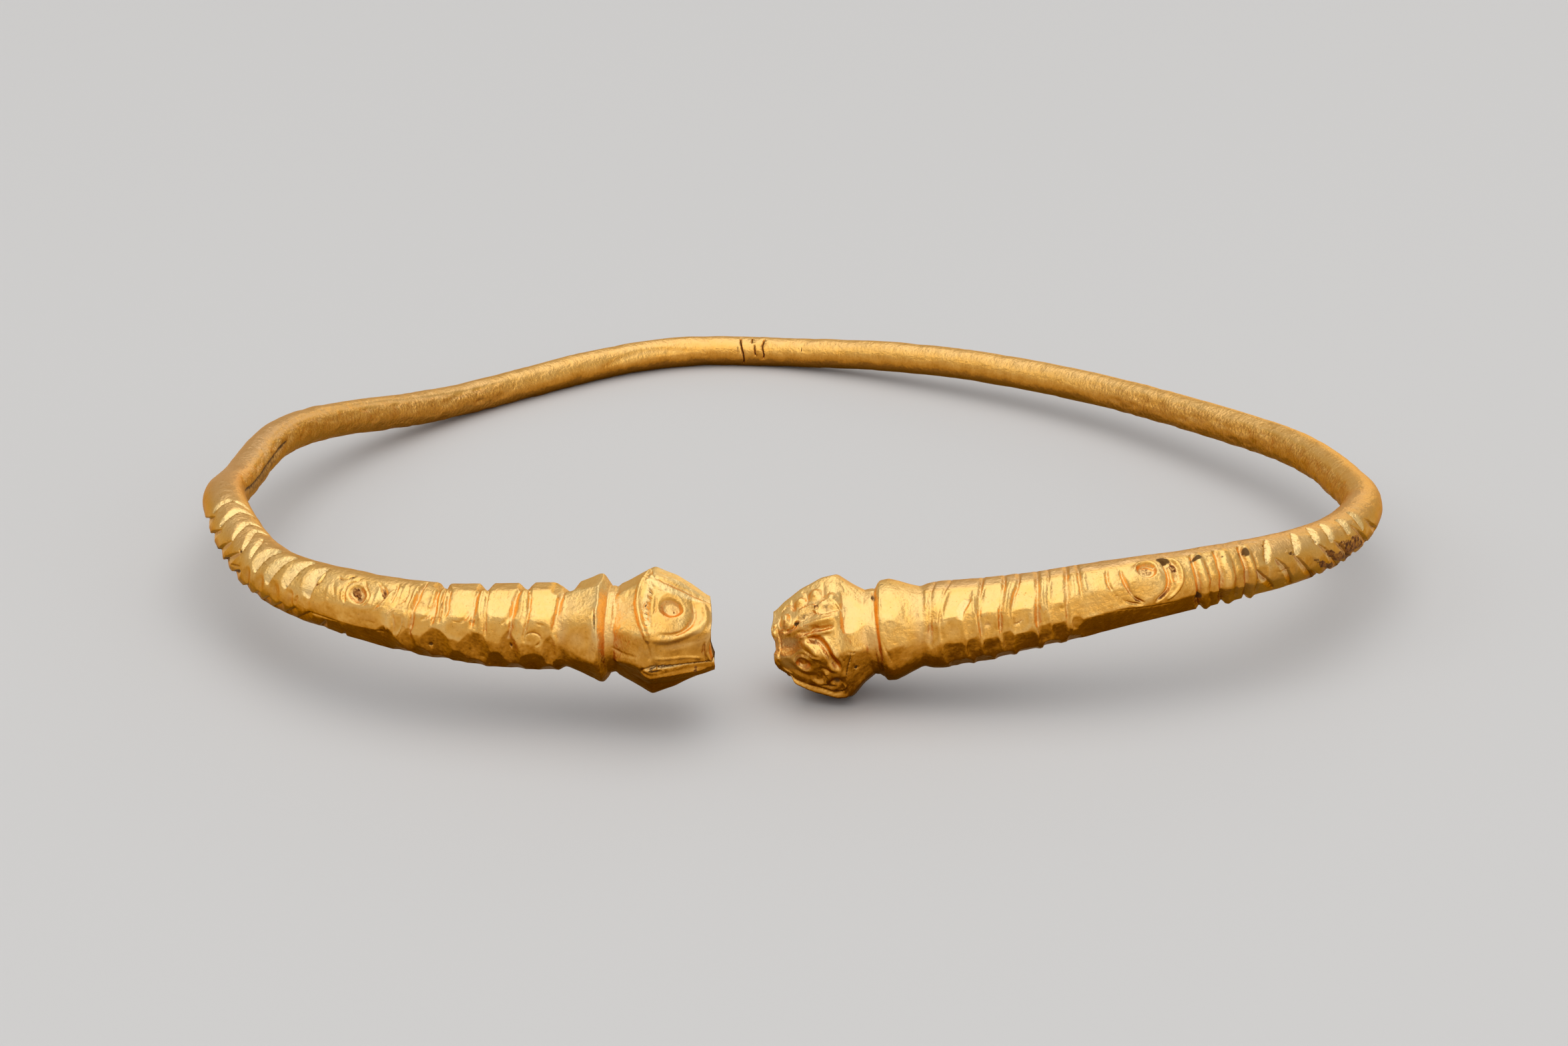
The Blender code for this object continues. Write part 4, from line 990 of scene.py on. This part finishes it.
# Which way the finished surface faces, 0 down and 1 up; the material darkens and brightens by it as painted
# shade and highlight.
normals = np.zeros(3 * len(mesh.vertices), np.float32)
mesh.vertex_normals.foreach_get("vector", normals)
facing_up = mesh.attributes.new("facing_up", "FLOAT", "POINT")
facing_up.data.foreach_set("value", 0.5 + 0.5 * normals.reshape(-1, 3)[:, 2])


class Wire:
    """A shader socket that takes part in sums, so that a mask is written as arithmetic."""

    def __init__(self, tree, socket):
        self.tree = tree
        self.socket = socket

    def join(self, kind, settings=None, **sockets):
        """Add a node, set it up, and feed its sockets with numbers, colours or wires."""
        node = self.tree.nodes.new(kind)
        for name, value in (settings or {}).items():
            if name == "stops":
                for place, colour in value[1:-1]:
                    node.color_ramp.elements.new(place)
                for element, (place, colour) in zip(node.color_ramp.elements, value):
                    element.position = place
                    element.color = colour
            else:
                setattr(node, name, value)
        for name, value in sockets.items():
            place = int(name[1:]) if name[0] == "i" and name[1:].isdigit() else name.replace("_", " ")
            if isinstance(value, Wire):
                self.tree.links.new(value.socket, node.inputs[place])
            else:
                node.inputs[place].default_value = value
        return node

    def maths(self, operation, first, second):
        node = self.join("ShaderNodeMath", {"operation": operation}, i0=first, i1=second)
        return Wire(self.tree, node.outputs[0])

    def __add__(self, other):
        return self.maths("ADD", self, other)

    __radd__ = __add__

    def __sub__(self, other):
        return self.maths("SUBTRACT", self, other)

    def __rsub__(self, other):
        return self.maths("SUBTRACT", other, self)

    def __mul__(self, other):
        return self.maths("MULTIPLY", self, other)

    __rmul__ = __mul__

    def most(self, other):
        return self.maths("MAXIMUM", self, other)

    def step(self, low, high):
        """0 below low, 1 above high, with an even curve between."""
        node = self.join("ShaderNodeMapRange", {"interpolation_type": "SMOOTHSTEP"},
                         Value=self, From_Min=low, From_Max=high)
        return Wire(self.tree, node.outputs[0])

    def tint(self, plain, over):
        """This wire as the share of the over colour laid on the plain one."""
        node = self.join("ShaderNodeMix", {"data_type": "RGBA"}, i0=self, i6=plain, i7=over)
        return Wire(self.tree, node.outputs[2])

    def grain(self, size, detail=2.0, stretch=(1.0, 1.0, 1.0)):
        """Noise of about that size in millimetres, taking this wire as the place."""
        spread = tuple(value / size for value in stretch)
        placed = self.join("ShaderNodeVectorMath", {"operation": "MULTIPLY"}, i0=self, i1=spread)
        node = self.join("ShaderNodeTexNoise", None, Vector=Wire(self.tree, placed.outputs[0]),
                         Scale=1.0, Detail=detail, Roughness=0.55)
        return Wire(self.tree, node.outputs["Fac"])


# High-carat gold, deeper in colour where it was never rubbed (on the left cheek and the
# right nose that darkening is painted shade), brown towards the under side as painted shade
# and paler where it faces up as painted highlight, with brown soil in the cuts and hard
# red-brown crust in a few hollows.
gold = bpy.data.materials.new("worn_gold")
gold.use_nodes = True
tree = gold.node_tree
shader = tree.nodes["Principled BSDF"]
shader.inputs["Specular Tint"].default_value = (1.0, 0.68, 0.36, 1)
shader.inputs["Specular IOR Level"].default_value = 0.12


def kept(name, output="Fac"):
    node = tree.nodes.new("ShaderNodeAttribute")
    node.attribute_name = name
    return Wire(tree, node.outputs[output])


# The colours laid over it in turn, each by its own mask.
FILM_AND_SHADE = (0.7, 0.36, 0.07, 1)
PAINTED_SHEEN = (0.8, 0.55, 0.34, 1)
CUT_GOLD_AND_HIGHLIGHT = (1.0, 0.74, 0.34, 1)
RUBBED_GOLD_AND_HIGHLIGHT = (1.0, 0.69, 0.27, 1)
HOLLOW_HIGHLIGHT = (0.95, 0.64, 0.28, 1)
DRAGGED_GOLD = (0.5, 0.2, 0.035, 1)
FRECKLE = (0.42, 0.17, 0.03, 1)
CRUST = (0.36, 0.125, 0.025, 1)
DARK_CRUST = (0.1, 0.028, 0.008, 1)
BROWN_SOIL_AND_SHADE = (0.085, 0.032, 0.008, 1)

place = kept("straight", "Vector")
hollow = kept("recess").step(0.01, 0.13)
proud = 1 - kept("recess").step(-0.06, 0.01)
mottle = place.grain(1.7, 4.0)
blotch = place.grain(0.75, 3.0)
speck = place.grain(0.2, 3.0)
brushed = place.grain(0.32, 3.0, (0.2, 1.0, 1.0))
filed = place.grain(0.13, 2.0, (1.0, 0.2, 0.2))

# Painted shade and highlight by facing: dark brown where the surface faces down, bright
# gold where it faces up, and a pale painted sheen where the uncut skin faces straight up.
upward = kept("facing_up") * 0.85 + kept("rod_up") * 0.15
lit = (kept("facing_up") * 0.6 + kept("rod_up") * 0.4).step(0.42, 0.6)
facing_shade = (upward - kept("dull_and_shade") * 0.1 + (mottle - 0.5) * 0.16
           + (blotch - 0.5) * 0.3 + (speck - 0.5) * 0.2)
shade_ramp = facing_shade.join("ShaderNodeValToRGB", {"stops": (
    (0.1, (0.12, 0.03, 0.001, 1)), (0.28, (0.24, 0.075, 0.003, 1)), (0.38, (0.56, 0.205, 0.011, 1)),
    (0.485, (0.76, 0.325, 0.04, 1)), (0.59, (0.94, 0.47, 0.09, 1)), (0.78, (0.97, 0.56, 0.15, 1)),
    (0.93, (0.95, 0.6, 0.21, 1)))}, Fac=facing_shade)
colour = Wire(tree, shade_ramp.outputs["Color"])
# A deeper film where the uncut skin stayed dull; on the left cheek and the right nose it is painted shade.
colour = (kept("dull_and_shade") * 0.4).tint(colour, FILM_AND_SHADE)
# A pale painted sheen where the dull skin faces straight up.
sheen_mask = (kept("dull_and_shade") * 0.7 - 0.4).most(0) * kept("facing_up").step(0.72, 0.98)
colour = sheen_mask.tint(colour, PAINTED_SHEEN)
# The next three tints show only where the surface faces up: painted highlights on the bare cut gold, the
# rubbed raised gold and the hollows.
colour = (kept("fresh_and_highlight") * lit * 0.55).tint(colour, CUT_GOLD_AND_HIGHLIGHT)
colour = (proud * lit * mottle.step(0.4, 0.7) * 0.5).tint(colour, RUBBED_GOLD_AND_HIGHLIGHT)
colour = (hollow * lit * 0.4).tint(colour, HOLLOW_HIGHLIGHT)
colour = (kept("dragged") * speck.step(0.35, 0.65) * 0.6).tint(colour, DRAGGED_GOLD)
# Dirt and crust in the cuts, and fine dark freckles everywhere; the brown soil also darkens three hollows
# on the right head as painted shade.
soil_and_shade_mask = (kept("soil") * (0.45 + speck)).step(0.3, 0.75)
crusty = (kept("rust") * (speck * 1.3 + blotch * 0.6)).step(0.42, 0.68)
freckled = place.grain(0.13, 1.0).step(0.68, 0.76)
colour = (freckled * 0.55).tint(colour, FRECKLE)
colour = (crusty * 0.9).tint(colour, CRUST)
colour = (crusty * speck.step(0.45, 0.6) * 0.85).tint(colour, DARK_CRUST)
colour = (soil_and_shade_mask * 0.9).tint(colour, BROWN_SOIL_AND_SHADE)
tree.links.new(colour.socket, shader.inputs["Base Color"])
bare = 1 - (soil_and_shade_mask * 0.75).most(crusty * 0.6)
tree.links.new(bare.socket, shader.inputs["Metallic"])
# Brush marks run along the rod and fine file marks across it, over a grainy skin.
rough = 0.24 + blotch * 0.14 + brushed * 0.08 + hollow * 0.04 + (1 - bare) * 0.35
tree.links.new(rough.socket, shader.inputs["Roughness"])
height = (brushed * 0.5 + filed * 0.25 + speck * 0.8 + blotch * 1.8
          + (soil_and_shade_mask + crusty + kept("dragged") * 2) * speck * 0.8)
bump = bare.join("ShaderNodeBump", None, Strength=1.0, Distance=0.00005, Height=height)
tree.links.new(bump.outputs[0], shader.inputs["Normal"])
mesh.materials.clear()
mesh.materials.append(gold)
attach(bracelet, "root")
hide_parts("bracelet")

# ---- Table, light and camera ----
# A pale matt table under a wide softbox, with a low one at the front right, a small one
# to the left and one behind, all outside the view.
floor_mesh = bpy.data.meshes.new("table_top")
floor_mesh.from_pydata([(-3, -3, 0), (3, -3, 0), (3, 3, 0), (-3, 3, 0)], [], [(0, 1, 2, 3)])
floor = bpy.data.objects.new("table_top", floor_mesh)
bpy.context.scene.collection.objects.link(floor)
matt = bpy.data.materials.new("pale_table")
matt.use_nodes = True
finish = matt.node_tree.nodes["Principled BSDF"].inputs
finish["Base Color"].default_value = (0.62, 0.61, 0.6, 1)
finish["Roughness"].default_value = 0.7
floor_mesh.materials.append(matt)

world = bpy.data.worlds.new("studio")
bpy.context.scene.world = world
world.use_nodes = True
glow = world.node_tree.nodes["Background"].inputs
glow["Color"].default_value = (1, 1, 1, 1)
glow["Strength"].default_value = 0.5


def softbox(name, location, size, power):
    """A rectangular light of that size and power, aimed at the bracelet."""
    lamp = bpy.data.lights.new(name, "AREA")
    lamp.shape = "RECTANGLE"
    lamp.size, lamp.size_y = size
    lamp.energy = power
    holder = bpy.data.objects.new(name, lamp)
    holder.location = location
    holder.rotation_euler = (-Vector(location)).to_track_quat("-Z", "Y").to_euler()
    bpy.context.scene.collection.objects.link(holder)


softbox("top_softbox", (-0.01, -0.1, 0.62), (0.84, 1.9), 4.4)
softbox("right_softbox", (0.5, -0.62, 0.27), (0.45, 0.35), 0.4)
softbox("left_softbox", (-0.55, -0.08, 0.42), (0.3, 0.3), 0.25)
softbox("back_softbox", (0.33, 0.95, 0.22), (0.46, 0.34), 0.45)

camera_data = bpy.data.cameras.new("camera")
camera_data.lens = 122.5
camera_data.sensor_width = 36.0
camera = bpy.data.objects.new("camera", camera_data)
camera.location = (-0.00055, -0.31868, 0.12816)
camera.rotation_euler = (math.radians(68.2), 0, 0)
bpy.context.scene.collection.objects.link(camera)
bpy.context.scene.camera = camera
bpy.context.scene.view_settings.view_transform = "Standard"
